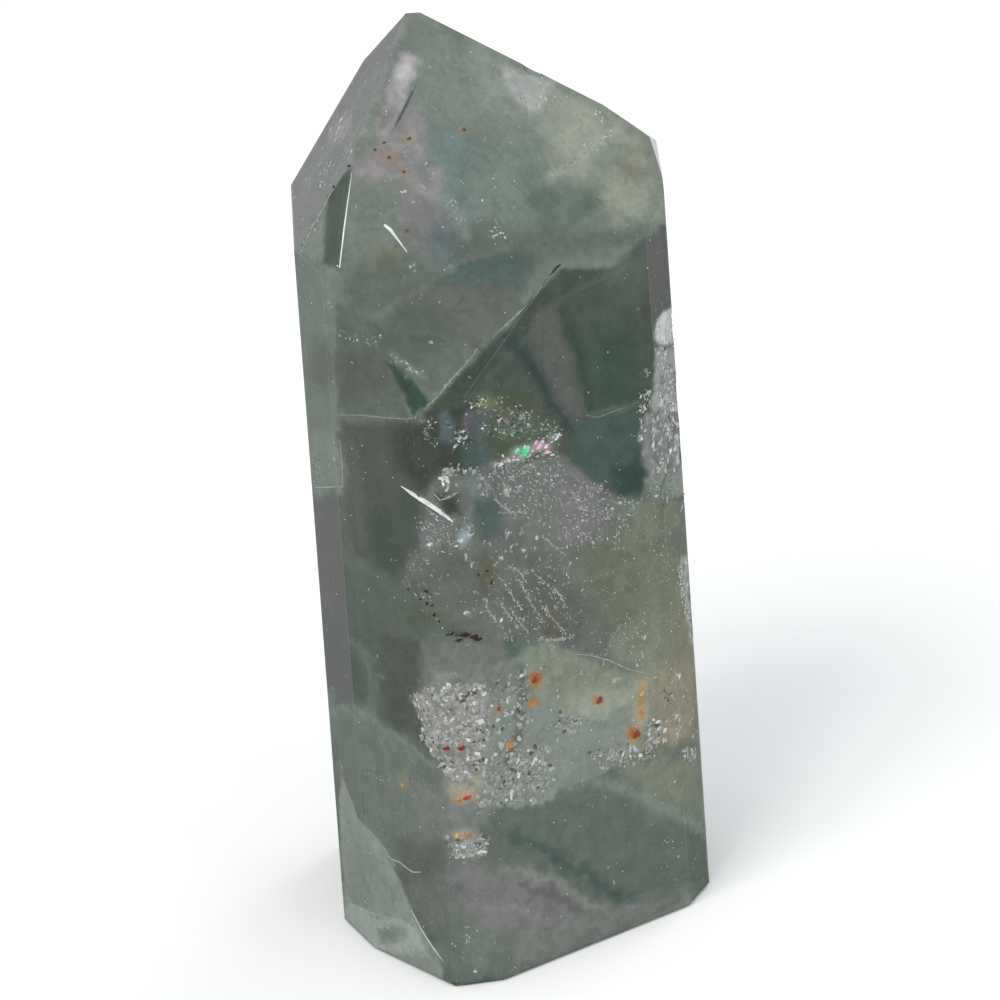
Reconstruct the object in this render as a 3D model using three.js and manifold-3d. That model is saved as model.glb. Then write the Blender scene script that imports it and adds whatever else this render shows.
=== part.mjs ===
// Fluorite point: a hand-cut, polished tower of green fluorite that stands on its flat base.
// Millimetres, +Z up, origin at the middle of the base. The stone faces -Y.
//
// The stone is cut the way a lapidary cuts it: every polished facet is a flat plane that takes
// away what lies beyond it, and small chips are then broken out of the finished edges.
import * as THREE from 'three';
import { ConvexGeometry } from 'three/addons/geometries/ConvexGeometry.js';
import { mergeVertices } from 'three/addons/utils/BufferGeometryUtils.js';
import Module from 'manifold-3d';

// ---- driving dimensions (mm and degrees) ----

const TOTAL_HEIGHT = 79.7; // base to the short ridge at the tip
const TIP = new THREE.Vector3(-4.2, 0.8, TOTAL_HEIGHT); // the tip stands left of the middle
const TIP_RIDGE_HALF = 0.55; // the tip is a ridge this far to either side, not a needle
const BASE_CHAMFER = 0.3; // edge around the base, broken against chipping
const CHAMFER_TILT = 135; // a facet tilted past 90 degrees faces down

// The ten upright sides, front ones seen from -Y. azimuth is the way a side faces, in degrees
// from +X towards +Y, and reach is how far it lies from the middle.
const SIDES = {
  leftSide: { azimuth: 180, reach: 15.25 },
  leftSliver: { azimuth: -157.6, reach: 15.7 },
  frontLeft: { azimuth: -141.6, reach: 16.15 },
  frontSliver: { azimuth: -82, reach: 16.8 },
  frontRight: { azimuth: -54.3, reach: 12.7 },
  rightSliver: { azimuth: -25.5, reach: 14.75 },
  rightSide: { azimuth: 2.5, reach: 15.18 },
  backRight: { azimuth: 45.8, reach: 17.5 },
  back: { azimuth: 90, reach: 17.85 },
  backLeft: { azimuth: 133.2, reach: 18 },
};

// The facets of the point that meet at the tip. tilt is measured from lying flat, and side says
// which end of the tip's ridge the facet passes through: -1 left, 0 along it, 1 right.
const TIP_FACETS = {
  leftCrown: { azimuth: -176.6, tilt: 59.5, side: -1 },
  frontCrown: { azimuth: -88.3, tilt: 55.7, side: 0 },
  frontRightCrown: { azimuth: -54.3, tilt: 50.3, side: 1 },
  backRightCrown: { azimuth: 45.8, tilt: 42.6, side: 1 },
  backCrown: { azimuth: 90, tilt: 52.4, side: 0 },
};

// Smaller facets that only trim the shoulders, each placed by its own reach from the origin.
const SHOULDER_FACETS = {
  leftShoulder: { azimuth: -156.8, tilt: 65, reach: 40.3 },
  rightShoulder: { azimuth: 25, tilt: 43.5, reach: 57.95 },
  rightCorner: { azimuth: 0, tilt: 73.2, reach: 33.2 },
  backLeftShoulder: { azimuth: 133.2, tilt: 63.7, reach: 41.4 },
};

// Shell-shaped chips: a point on the facet or edge that broke, the way the break faces, its
// width and height on the surface, and how deep it bites.
const CHIPS = {
  upperRightFlake: { at: [15.3, -2.4, 51.2], azimuth: -14, tilt: 90, wide: 3.6, high: 3.1, bite: 0.75 },
  scarTop: { at: [14.6, -3.7, 47], azimuth: -26, tilt: 90, wide: 3.2, high: 3.6, bite: 0.35 },
  scarUpper: { at: [15.1, -2.8, 44.5], azimuth: -16, tilt: 90, wide: 4.4, high: 4.2, bite: 0.62 },
  scarMiddle: { at: [13.9, -5.3, 43], azimuth: -38, tilt: 90, wide: 3.6, high: 5.6, bite: 0.5 },
  scarLower: { at: [14.8, -3.4, 40.6], azimuth: -24, tilt: 90, wide: 4.2, high: 4.6, bite: 0.42 },
  scarTail: { at: [14.1, -4.9, 38], azimuth: -32, tilt: 90, wide: 3, high: 3.4, bite: 0.3 },
  longFlake: { at: [15.2, -2.5, 25.4], azimuth: -20, tilt: 90, wide: 1.3, high: 5.4, bite: 0.28 },
  smallNick: { at: [14.1, -4.7, 13.4], azimuth: -26, tilt: 90, wide: 1.2, high: 1.2, bite: 0.16 },
  ridgeNick: { at: [5.3, 1, 73.7], azimuth: -10, tilt: 30, wide: 2.6, high: 2, bite: 0.32 },
  baseNick: { at: [-6.4, -17.8, 0.1], azimuth: -110, tilt: 115, wide: 2, high: 0.9, bite: 0.25 },
  backNick: { at: [-15.2, 10.2, 22], azimuth: 156, tilt: 90, wide: 1.8, high: 4.2, bite: 0.45 },
  backShoulderNick: { at: [6.9, 17.8, 57.4], azimuth: 68, tilt: 70, wide: 3, high: 2, bite: 0.5 },
};
const SCOOP_THICKNESS = 2; // half-thickness of a chip's scoop, in bites
const SCOOP_WIDTH_STEPS = 14;
const SCOOP_HEIGHT_STEPS = 10;

const STONE = new THREE.MeshStandardMaterial({
  name: 'polished_fluorite',
  color: 0x78857c,
  roughness: 0.12,
  metalness: 0,
});

// ---- facets as planes ----

const SAME_POINT = 1e-5;
const OUTSIDE = 1e-6;

// Unit normal of a facet that faces an azimuth and is tilted from lying flat.
function facetNormal(azimuth, tilt) {
  const turn = THREE.MathUtils.degToRad(azimuth);
  const slope = THREE.MathUtils.degToRad(tilt);
  const across = Math.sin(slope);
  return new THREE.Vector3(across * Math.cos(turn), across * Math.sin(turn), Math.cos(slope));
}

function facet(azimuth, tilt, reach) {
  return { normal: facetNormal(azimuth, tilt), reach };
}

function facetThrough(azimuth, tilt, point) {
  const normal = facetNormal(azimuth, tilt);
  return { normal, reach: normal.dot(point) };
}

function sideFacets() {
  return Object.values(SIDES).map(({ azimuth, reach }) => facet(azimuth, 90, reach));
}

// The broken edge under each side starts BASE_CHAMFER above the base.
function baseChamfers() {
  return Object.values(SIDES).map(({ azimuth, reach }) => {
    const edge = facetNormal(azimuth, 90).multiplyScalar(reach).setZ(BASE_CHAMFER);
    return facetThrough(azimuth, CHAMFER_TILT, edge);
  });
}

function tipFacets() {
  return Object.values(TIP_FACETS).map(({ azimuth, tilt, side }) => {
    const end = TIP.clone().setX(TIP.x + side * TIP_RIDGE_HALF);
    return facetThrough(azimuth, tilt, end);
  });
}

function shoulderFacets() {
  return Object.values(SHOULDER_FACETS).map(({ azimuth, tilt, reach }) => facet(azimuth, tilt, reach));
}

// The point where three facets meet, or null where two of them are nearly parallel.
function meetingPoint(a, b, c) {
  const bc = new THREE.Vector3().crossVectors(b.normal, c.normal);
  const volume = a.normal.dot(bc);
  if (Math.abs(volume) < OUTSIDE) return null;
  const ca = new THREE.Vector3().crossVectors(c.normal, a.normal);
  const ab = new THREE.Vector3().crossVectors(a.normal, b.normal);
  return bc.multiplyScalar(a.reach)
    .addScaledVector(ca, b.reach)
    .addScaledVector(ab, c.reach)
    .divideScalar(volume);
}

// Corners of the stone: every meeting point that no facet cuts away.
function corners(facets) {
  const kept = [];
  for (let i = 0; i < facets.length; i += 1) {
    for (let j = i + 1; j < facets.length; j += 1) {
      for (let k = j + 1; k < facets.length; k += 1) {
        const point = meetingPoint(facets[i], facets[j], facets[k]);
        if (!point) continue;
        const inside = facets.every(({ normal, reach }) => normal.dot(point) <= reach + OUTSIDE);
        const known = kept.some((other) => other.distanceTo(point) < SAME_POINT);
        if (inside && !known) kept.push(point);
      }
    }
  }
  return kept;
}

function cutStone() {
  const base = { normal: new THREE.Vector3(0, 0, -1), reach: 0 };
  const facets = [base, ...sideFacets(), ...baseChamfers(), ...tipFacets(), ...shoulderFacets()];
  return new ConvexGeometry(corners(facets));
}

// ---- chips ----

// An egg-shaped scoop sunk into the stone until its mouth has the chip's width and height.
function chipScoop({ at, azimuth, tilt, wide, high, bite }) {
  const thickness = SCOOP_THICKNESS * bite;
  const sunk = thickness - bite;
  const mouth = Math.sqrt(1 - (sunk / thickness) ** 2);
  const scoop = new THREE.SphereGeometry(1, SCOOP_WIDTH_STEPS, SCOOP_HEIGHT_STEPS);
  scoop.scale(high / 2 / mouth, wide / 2 / mouth, thickness);
  scoop.rotateY(THREE.MathUtils.degToRad(tilt));
  scoop.rotateZ(THREE.MathUtils.degToRad(azimuth));
  const centre = new THREE.Vector3(...at).addScaledVector(facetNormal(azimuth, tilt), sunk);
  scoop.translate(centre.x, centre.y, centre.z);
  return scoop;
}

const wasm = await Module();
wasm.setup();

function toSolid(geometry) {
  const bare = geometry.clone();
  bare.deleteAttribute('normal');
  bare.deleteAttribute('uv');
  const merged = mergeVertices(bare, SAME_POINT);
  return new wasm.Manifold(new wasm.Mesh({
    numProp: 3,
    vertProperties: new Float32Array(merged.attributes.position.array),
    triVerts: new Uint32Array(merged.index.array),
  }));
}

function toGeometry(solid) {
  const { vertProperties, triVerts } = solid.getMesh();
  const geometry = new THREE.BufferGeometry();
  geometry.setAttribute('position', new THREE.BufferAttribute(vertProperties, 3));
  geometry.setIndex(new THREE.BufferAttribute(triVerts, 1));
  geometry.computeVertexNormals();
  return geometry;
}

function chippedStone() {
  const stone = toSolid(cutStone());
  return Object.values(CHIPS).reduce((left, chip) => left.subtract(toSolid(chipScoop(chip))), stone);
}

// ---- the part ----

const point = new THREE.Mesh(toGeometry(chippedStone()), STONE);
point.name = 'fluorite_point';

const part = new THREE.Group();
part.name = 'fluorite_tower';
part.add(point);

export default part;
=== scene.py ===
"""Looks of the fluorite point: the polished stone, what lies inside it, and its small studio."""
import logging
import math
import random
from dataclasses import dataclass, field
from enum import Enum
from typing import Iterable, Sequence

import bmesh
import bpy
import numpy as np
from mathutils import Matrix, Vector, noise
from mathutils.bvhtree import BVHTree
from mathutils.geometry import delaunay_2d_cdt


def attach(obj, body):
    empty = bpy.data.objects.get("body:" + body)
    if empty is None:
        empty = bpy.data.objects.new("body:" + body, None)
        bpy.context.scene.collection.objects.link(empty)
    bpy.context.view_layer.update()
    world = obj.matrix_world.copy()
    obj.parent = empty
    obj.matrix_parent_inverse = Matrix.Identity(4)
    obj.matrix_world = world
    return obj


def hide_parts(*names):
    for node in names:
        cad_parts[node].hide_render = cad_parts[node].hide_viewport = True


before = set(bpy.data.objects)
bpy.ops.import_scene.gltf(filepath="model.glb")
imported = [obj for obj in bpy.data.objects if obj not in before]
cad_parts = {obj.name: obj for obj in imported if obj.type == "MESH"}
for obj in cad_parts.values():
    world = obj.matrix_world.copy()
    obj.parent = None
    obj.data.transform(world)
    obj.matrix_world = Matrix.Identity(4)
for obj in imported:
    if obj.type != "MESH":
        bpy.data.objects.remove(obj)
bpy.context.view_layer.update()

LOG = logging.getLogger("fluorite")
MM = 0.001
STONE_NODE = "fluorite_point"
BODY = "root"
FLUORITE_IOR = 1.434
CLOUD_GLOSS = 0.15
# The index at which a plain polish would mirror as much as the cloud does at that gloss.
CLOUD_IOR = 1.2165
Pixel = tuple[float, float]
Colour = tuple[float, float, float]
Piece = bpy.types.Object


def put(name: str, data: bpy.types.ID) -> Piece:
    """Makes an object and puts it in the scene.

    Args:
        name: Its name.
        data: Its mesh, camera or light.

    Returns:
        The object, at the origin.
    """
    made = bpy.data.objects.new(name, data)
    bpy.context.scene.collection.objects.link(made)
    return made


def declare(piece: Piece) -> Piece:
    """Says which body the piece rides on.

    Args:
        piece: A finished piece of the stone.

    Returns:
        The same piece.
    """
    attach(piece, BODY)
    return piece


# -------- shader graphs

class Wire:
    """A shader socket that takes part in sums as a number does."""

    def __init__(self, graph: "Tree", socket: bpy.types.NodeSocket) -> None:
        """Wraps an output socket, and keeps the graph that new nodes go to."""
        self.graph = graph
        self.socket = socket

    def math(self, operation: str, *others: "Wire | float") -> "Wire":
        """One Math node on this value and the others."""
        return self.graph.node("ShaderNodeMath", {"operation": operation}, dict(enumerate((self, *others))))

    def __add__(self, other: "Wire | float") -> "Wire":
        """Sum."""
        return self.math("ADD", other)

    def __sub__(self, other: "Wire | float") -> "Wire":
        """Difference."""
        return self.math("SUBTRACT", other)

    def __rsub__(self, other: float) -> "Wire":
        """Difference with a plain number in front."""
        return self.graph.node("ShaderNodeMath", {"operation": "SUBTRACT"}, {0: other, 1: self})

    def __mul__(self, other: "Wire | float") -> "Wire":
        """Product."""
        return self.math("MULTIPLY", other)

    def ramp(self, low: float, high: float, start: float = 0.0, end: float = 1.0) -> "Wire":
        """Steps smoothly as the value goes from low to high.

        Args:
            low: Where the step begins.
            high: Where it ends.
            start: The result up to low.
            end: The result from high on.

        Returns:
            The result.
        """
        return self.graph.node(
            "ShaderNodeMapRange", {"interpolation_type": "SMOOTHSTEP"},
            {"Value": self, "From Min": low, "From Max": high, "To Min": start, "To Max": end},
        )


class Tree:
    """A node tree that is written down as calls."""

    def __init__(self, tree: bpy.types.NodeTree) -> None:
        """Starts with a tree that exists."""
        self.tree = tree

    def node(
        self, kind: str, settings: dict | None = None, inputs: dict | None = None, out: str | int = 0
    ) -> Wire:
        """Adds a node: its settings first, then the values or links of its sockets.

        Args:
            kind: The node's type.
            settings: Properties by name; "stops" holds a ramp's positions and colours.
            inputs: Values or wires by socket name or index.
            out: The output that is handed back.

        Returns:
            The chosen output as a wire.
        """
        made = self.tree.nodes.new(kind)
        for key, value in (settings or {}).items():
            if key == "stops":
                self._stops(made.color_ramp, value)
            else:
                setattr(made, key, value)
        for key, value in (inputs or {}).items():
            if isinstance(value, Wire):
                self.tree.links.new(value.socket, made.inputs[key])
            else:
                made.inputs[key].default_value = value
        return Wire(self, made.outputs[out])

    @staticmethod
    def _stops(ramp: bpy.types.ColorRamp, stops: Sequence[tuple[float, Colour]]) -> None:
        """Sets a colour ramp's stops.

        Args:
            ramp: The ramp.
            stops: Positions and colours.
        """
        while len(ramp.elements) < len(stops):
            ramp.elements.new(0.5)
        for element, (position, colour) in zip(ramp.elements, stops):
            element.position = position
            element.color = (*colour, 1.0)


class Graph(Tree):
    """The node tree of one material."""

    def __init__(self, name: str) -> None:
        """Makes an empty material with its output node.

        Args:
            name: The material's name.
        """
        self.material = bpy.data.materials.new(name)
        self.material.use_nodes = True
        super().__init__(self.material.node_tree)
        self.tree.nodes.clear()
        self.output = self.tree.nodes.new("ShaderNodeOutputMaterial")

    def place(self) -> Wire:
        """Object coordinates."""
        return self.node("ShaderNodeTexCoord", out="Object")

    def attribute(self, name: str, out: str = "Color") -> Wire:
        """What the mesh stores under a name."""
        return self.node("ShaderNodeAttribute", {"attribute_name": name}, out=out)

    def channel(self, colour: Wire, name: str) -> Wire:
        """One channel of a colour."""
        return self.node("ShaderNodeSeparateColor", None, {"Color": colour}, out=name)

    def noise(self, scale: float, detail: float = 3.0, at: Wire | None = None, warp: float = 0.0) -> Wire:
        """Noise between 0 and 1.

        Args:
            scale: How many grains a metre holds.
            detail: How many finer layers it has.
            at: Where it is read.
            warp: How far it is bent.

        Returns:
            Its value.
        """
        return self.node(
            "ShaderNodeTexNoise", None,
            {"Vector": at or self.place(), "Scale": scale, "Detail": detail, "Distortion": warp},
        )

    def mix(self, factor: Wire | float, low: Wire | Colour, high: Wire | Colour, blend: str = "MIX") -> Wire:
        """Mixes two colours.

        Args:
            factor: The share of high.
            low: The colour below.
            high: The colour above.
            blend: How the one is laid over the other.

        Returns:
            The colour.
        """
        colours = [c if isinstance(c, Wire) else (*c, 1.0) for c in (low, high)]
        return self.node(
            "ShaderNodeMix", {"data_type": "RGBA", "blend_type": blend, "clamp_factor": True},
            {0: factor, 6: colours[0], 7: colours[1]}, out=2,
        )

    def principled(self, **inputs: "Wire | float | Colour") -> Wire:
        """A Principled shader.

        Args:
            inputs: Sockets by name, with _ for a blank.

        Returns:
            The shader's output.
        """
        values = {}
        for key, value in inputs.items():
            values[key.replace("_", " ")] = (*value, 1.0) if isinstance(value, tuple) else value
        return self.node("ShaderNodeBsdfPrincipled", None, values)

    def surface(self, shader: Wire) -> bpy.types.Material:
        """Ends the graph in a shader."""
        self.tree.links.new(shader.socket, self.output.inputs["Surface"])
        return self.material

    def absorb(self, colour: Colour, density: float) -> None:
        """Fills the inside with plain absorption."""
        volume = self.node("ShaderNodeVolumeAbsorption", None, {"Color": (*colour, 1.0), "Density": density})
        self.tree.links.new(volume.socket, self.output.inputs["Volume"])


# -------- viewpoint and studio

@dataclass
class Viewpoint:
    """The camera: far away with a long lens, a little above the stone and slightly rolled.

    sharpness is how fast a face counts as looked at while it turns this way, and at_edge how much
    it counts when it is seen edge on.
    """

    azimuth: float = 0.0
    elevation: float = math.radians(25.0)
    roll: float = math.atan(0.0705)
    target: Vector = field(default_factory=lambda: Vector((0.123, 0.0, 35.737)) * MM)
    frame_width: float = 82.64 * MM
    lens: float = 600.0
    sensor: float = 36.0
    picture: int = 1000
    nearest: float = 0.05
    farthest: float = 20.0
    sharpness: float = 12.0
    at_edge: float = 0.1

    def __post_init__(self) -> None:
        """Works out the camera's axes and place."""
        turn = Matrix.Rotation(self.azimuth, 3, "Z")
        up = turn @ Vector((0.0, math.sin(self.elevation), math.cos(self.elevation)))
        across = turn @ Vector((1.0, 0.0, 0.0))
        self.ahead = turn @ Vector((0.0, math.cos(self.elevation), -math.sin(self.elevation)))
        self.right = across * math.cos(self.roll) - up * math.sin(self.roll)
        self.up = across * math.sin(self.roll) + up * math.cos(self.roll)
        self.distance = self.frame_width * self.lens / self.sensor
        self.pixel_size = self.frame_width / self.picture
        self.eye = self.target - self.ahead * self.distance

    def ray(self, pixel: Pixel) -> Vector:
        """Where the eye looks through a pixel of the picture.

        Args:
            pixel: The pixel, from the upper left.

        Returns:
            The direction.
        """
        size = self.pixel_size
        middle = self.picture / 2
        spot = self.target + self.right * (pixel[0] - middle) * size + self.up * (middle - pixel[1]) * size
        return (spot - self.eye).normalized()

    def pixels(self, points: np.ndarray) -> np.ndarray:
        """Where points show in the picture.

        Args:
            points: One point a row.

        Returns:
            One pixel a row.
        """
        away = points - np.array(self.eye)
        scale = self.distance / (away @ np.array(self.ahead)) * self.picture / self.frame_width
        middle = self.picture / 2
        across, upward = away @ np.array(self.right), away @ np.array(self.up)
        return np.stack((middle + across * scale, middle - upward * scale), axis=1)

    def facing(self, normals: np.ndarray) -> np.ndarray:
        """Which faces are looked at from here: 1 for those, 0 for hidden ones."""
        return np.clip(-(normals @ np.array(self.ahead)) * self.sharpness + self.at_edge, 0.0, 1.0)

    def slope(self, across: float, upward: float) -> Vector:
        """The way that leads so far across and up the picture."""
        return self.right * across + self.up * upward

    def build(self) -> None:
        """Makes the camera and gives it to the scene."""
        data = bpy.data.cameras.new("camera")
        data.lens, data.sensor_width = self.lens, self.sensor
        data.clip_start, data.clip_end = self.nearest, self.farthest
        camera = put("camera", data)
        turn = Matrix((self.right, self.up, -self.ahead)).transposed()
        camera.matrix_world = Matrix.Translation(self.eye) @ turn.to_4x4()
        bpy.context.scene.camera = camera


@dataclass(frozen=True)
class SoftBox:
    """One large, soft, square light."""

    name: str
    place: tuple[float, float, float]
    size: float
    power: float
    colour: Colour

    def build(self, aim: Vector) -> None:
        """Makes the light.

        Args:
            aim: What it is turned to.
        """
        data = bpy.data.lights.new(self.name, "AREA")
        data.shape, data.size, data.energy, data.color = "SQUARE", self.size, self.power, self.colour
        light = put(self.name, data)
        light.location = self.place
        light.rotation_mode = "QUATERNION"
        light.rotation_quaternion = (aim - light.location).to_track_quat("-Z", "Y")


@dataclass
class Studio:
    """A plain pale floor under a bright soft dome and three large soft lights."""

    floor_half: float = 4.0
    floor_colour: Colour = (0.9, 0.9, 0.89)
    floor_dimmed: float = 0.97
    floor_grain: float = 40.0
    floor_roughness: float = 0.75
    dome: Colour = (0.93, 0.96, 1.0)
    dome_strength: float = 0.62
    exposure: float = 0.28
    aim: tuple[float, float, float] = (0.0, 0.0, 0.04)
    lights: tuple[SoftBox, ...] = (
        SoftBox("key", (-0.55, -0.75, 1.05), 0.8, 9.5, (1.0, 0.985, 0.96)),
        SoftBox("fill", (0.8, -0.8, 0.36), 0.6, 3.6, (0.96, 0.98, 1.0)),
        SoftBox("back", (0.75, 0.8, 0.95), 0.8, 3.4, (1.0, 1.0, 1.0)),
    )

    def build(self) -> None:
        """Makes the floor, the dome and the lights."""
        self._floor()
        self._dome()
        for light in self.lights:
            light.build(Vector(self.aim))
        view = bpy.context.scene.view_settings
        view.view_transform = "Standard"
        view.exposure = self.exposure

    def _floor(self) -> None:
        """One large flat square at the stone's base."""
        half = self.floor_half
        corners = [(-half, -half, 0), (half, -half, 0), (half, half, 0), (-half, half, 0)]
        mesh = bpy.data.meshes.new("floor")
        mesh.from_pydata(corners, [], [(0, 1, 2, 3)])
        graph = Graph("pale_floor")
        grain = graph.noise(self.floor_grain, 2.0)
        dimmed = tuple(c * self.floor_dimmed for c in self.floor_colour)
        colour = graph.mix(grain, dimmed, self.floor_colour)
        shader = graph.principled(Base_Color=colour, Roughness=self.floor_roughness)
        mesh.materials.append(graph.surface(shader))
        floor = put("floor", mesh)

    def _dome(self) -> None:
        """An even, bright surround."""
        world = bpy.data.worlds.new("dome")
        world.use_nodes = True
        background = world.node_tree.nodes["Background"]
        background.inputs["Color"].default_value = (*self.dome, 1.0)
        background.inputs["Strength"].default_value = self.dome_strength
        bpy.context.scene.world = world


# -------- the stone's mesh

class Face(Enum):
    """What a patch of the surface is, as its material's place on the stone."""

    POLISHED = 0
    BROKEN = 1


@dataclass
class Cut:
    """The stone's skin: flat facets with eased edges and rough breaks. Works in millimetres.

    Edges are eased where they turn by least_turn and are least_edge long; faces that turn by less
    than level are one facet. The steps are the lengths of small triangles, on facets that face the
    front by more than front_turn, on the others and on breaks, and rim_gap is how far from a
    facet's rim they start, as a share of the step. The breaks go in by break_relief, in waves and
    in steps.
    """

    eased_width: float = 0.09
    least_turn: float = math.radians(29.0)
    least_edge: float = 0.4
    level: float = math.radians(0.3)
    front_turn: float = 0.02
    front_step: float = 0.27
    other_step: float = 0.62
    broken_step: float = 0.22
    rim_gap: float = 0.45
    break_relief: float = 0.11
    waves: tuple[float, float] = (1.3, 0.6)
    steps: tuple[float, float] = (2.6, 0.7)
    weld: float = 2e-3
    flat: float = 0.02

    def build(self, source: bpy.types.Mesh, ahead: Vector) -> bmesh.types.BMesh:
        """Makes the skin.

        Args:
            source: The solid's mesh, in metres.
            ahead: The direction in which the front is looked at; facets that face it get finer faces.

        Returns:
            The closed skin in metres, broken faces marked by their material index.
        """
        self.ahead = ahead
        skin = bmesh.new()
        skin.from_mesh(source)
        bmesh.ops.transform(skin, matrix=Matrix.Scale(1 / MM, 4), verts=skin.verts)
        bmesh.ops.remove_doubles(skin, verts=skin.verts, dist=self.weld)
        bmesh.ops.dissolve_limit(skin, angle_limit=self.level, verts=skin.verts, edges=skin.edges)
        skin.normal_update()
        self._ease(skin)
        self._mark(skin)
        self._split(skin)
        fine = self._fill(skin)
        skin.free()
        self._roughen(fine)
        bmesh.ops.transform(fine, matrix=Matrix.Scale(MM, 4), verts=fine.verts)
        fine.normal_update()
        return fine

    def _polished(self, skin: bmesh.types.BMesh) -> set[bmesh.types.BMFace]:
        """Picks the faces that nothing of the stone stands in front of.

        Args:
            skin: The skin, as whole facets.

        Returns:
            The facets, but not the breaks.
        """
        points = np.array([v.co for v in skin.verts])
        return {
            f for f in skin.faces
            if (points @ np.array(f.normal)).max() - f.normal.dot(f.verts[0].co) < self.flat
        }

    def _ease(self, skin: bmesh.types.BMesh) -> None:
        """Takes a narrow flat off every polished edge.

        Args:
            skin: The skin with whole facets.
        """
        polished = self._polished(skin)
        flats = {}
        for edge in skin.edges:
            turn = edge.calc_face_angle(0.0)
            long_enough = edge.calc_length() > self.least_edge and turn > self.least_turn
            if long_enough and all(f in polished for f in edge.link_faces):
                normal = sum((f.normal for f in edge.link_faces), Vector()).normalized()
                middle = (edge.verts[0].co + edge.verts[1].co) / 2
                point = middle - normal * (self.eased_width * math.tan(turn / 2) / 2)
                key = tuple(round(n, 2) for n in (*normal, point.dot(normal)))
                flats[key] = (point, normal)
        for point, normal in flats.values():
            everything = [*skin.verts, *skin.edges, *skin.faces]
            bmesh.ops.bisect_plane(
                skin, geom=everything, dist=1e-4, plane_co=point, plane_no=normal, clear_outer=True
            )
            self._close(skin)
        skin.normal_update()

    @staticmethod
    def _close(skin: bmesh.types.BMesh) -> None:
        """Fills every hole."""
        opened = [e for e in skin.edges if len(e.link_faces) == 1]
        bmesh.ops.holes_fill(skin, edges=opened, sides=0)

    def _mark(self, skin: bmesh.types.BMesh) -> None:
        """Tells breaks from facets.

        Args:
            skin: The skin, whose faces get a material index.
        """
        polished = self._polished(skin)
        for face in skin.faces:
            face.material_index = (Face.POLISHED if face in polished else Face.BROKEN).value

    def _step(self, face: bmesh.types.BMFace) -> float:
        """How long a face's small triangles are.

        Args:
            face: A facet or a break.

        Returns:
            The length of their sides.
        """
        if face.material_index == Face.BROKEN.value:
            return self.broken_step
        return self.front_step if face.normal.dot(self.ahead) < -self.front_turn else self.other_step

    def _split(self, skin: bmesh.types.BMesh) -> None:
        """Splits every edge into short ones.

        Args:
            skin: The skin, as whole facets.
        """
        pieces: dict[int, list] = {}
        for edge in skin.edges:
            step = min(self._step(f) for f in edge.link_faces)
            cuts = math.ceil(edge.calc_length() / step) - 1
            if cuts > 0:
                pieces.setdefault(cuts, []).append(edge)
        for cuts, edges in pieces.items():
            bmesh.ops.bisect_edges(skin, edges=edges, cuts=cuts)

    def _fill(self, skin: bmesh.types.BMesh) -> bmesh.types.BMesh:
        """Fills each face with small triangles of even size.

        Args:
            skin: The skin, as whole facets.

        Returns:
            The same skin in small triangles.
        """
        points, triangles, kinds = [], [], []
        for face in skin.faces:
            found, corners = self._tile(face)
            triangles += [[len(points) + i for i in corner] for corner in corners]
            kinds += [face.material_index] * len(corners)
            points += found
        mesh = bpy.data.meshes.new("skin")
        mesh.from_pydata(points, [], triangles)
        mesh.polygons.foreach_set("material_index", kinds)
        fine = bmesh.new()
        fine.from_mesh(mesh)
        bpy.data.meshes.remove(mesh)
        bmesh.ops.remove_doubles(fine, verts=fine.verts, dist=self.weld)
        self._close(fine)
        bmesh.ops.triangulate(fine, faces=[f for f in fine.faces if len(f.verts) > 3])
        fine.normal_update()
        return fine

    def _tile(self, face: bmesh.types.BMFace) -> tuple[list[Vector], list[list[int]]]:
        """Cuts one face into small triangles.

        Args:
            face: A facet or a break.

        Returns:
            Their points, and each one's corners.
        """
        loop = [v.co.copy() for v in face.verts]
        step = self._step(face)
        if len(loop) < 4 or face.calc_area() < 3 * step * step:
            return loop, [list(range(len(loop)))]
        across = Vector((0.0, 0.0, 1.0)).cross(face.normal)
        across = across.normalized() if across.length > 1e-3 else Vector((1.0, 0.0, 0.0))
        along = face.normal.cross(across)
        rim = np.array([((p - loop[0]).dot(across), (p - loop[0]).dot(along)) for p in loop])
        low, high = rim.min(0), rim.max(0)
        rows = np.arange(low[1], high[1], step * math.sqrt(0.75))
        grid_x, grid_y = np.meshgrid(np.arange(low[0], high[0], step), rows)
        grid_x = grid_x + (np.arange(len(rows)) % 2)[:, None] * step / 2
        grid = np.stack((grid_x.ravel(), grid_y.ravel()), axis=1)
        grid = grid[outline_distance(grid, rim) < -self.rim_gap * step]
        flat = [Vector(p) for p in (*rim, *grid)]
        placed, _, corners, *_ = delaunay_2d_cdt(flat, [], [list(range(len(rim)))], 1, 1e-6)
        return [loop[0] + across * p.x + along * p.y for p in placed], corners

    def _roughen(self, skin: bmesh.types.BMesh) -> None:
        """Gives the breaks their stepped, sugary relief, inwards only.

        Args:
            skin: The skin in small triangles.
        """
        broken = Face.BROKEN.value
        for vert in skin.verts:
            if vert.link_faces and all(f.material_index == broken for f in vert.link_faces):
                wave = abs(noise.noise(vert.co * self.waves[0])) * self.waves[1]
                step = (noise.cell(vert.co * self.steps[0]) * 0.5 + 0.5) * self.steps[1]
                vert.co -= vert.normal * self.break_relief * (wave + step)


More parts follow.
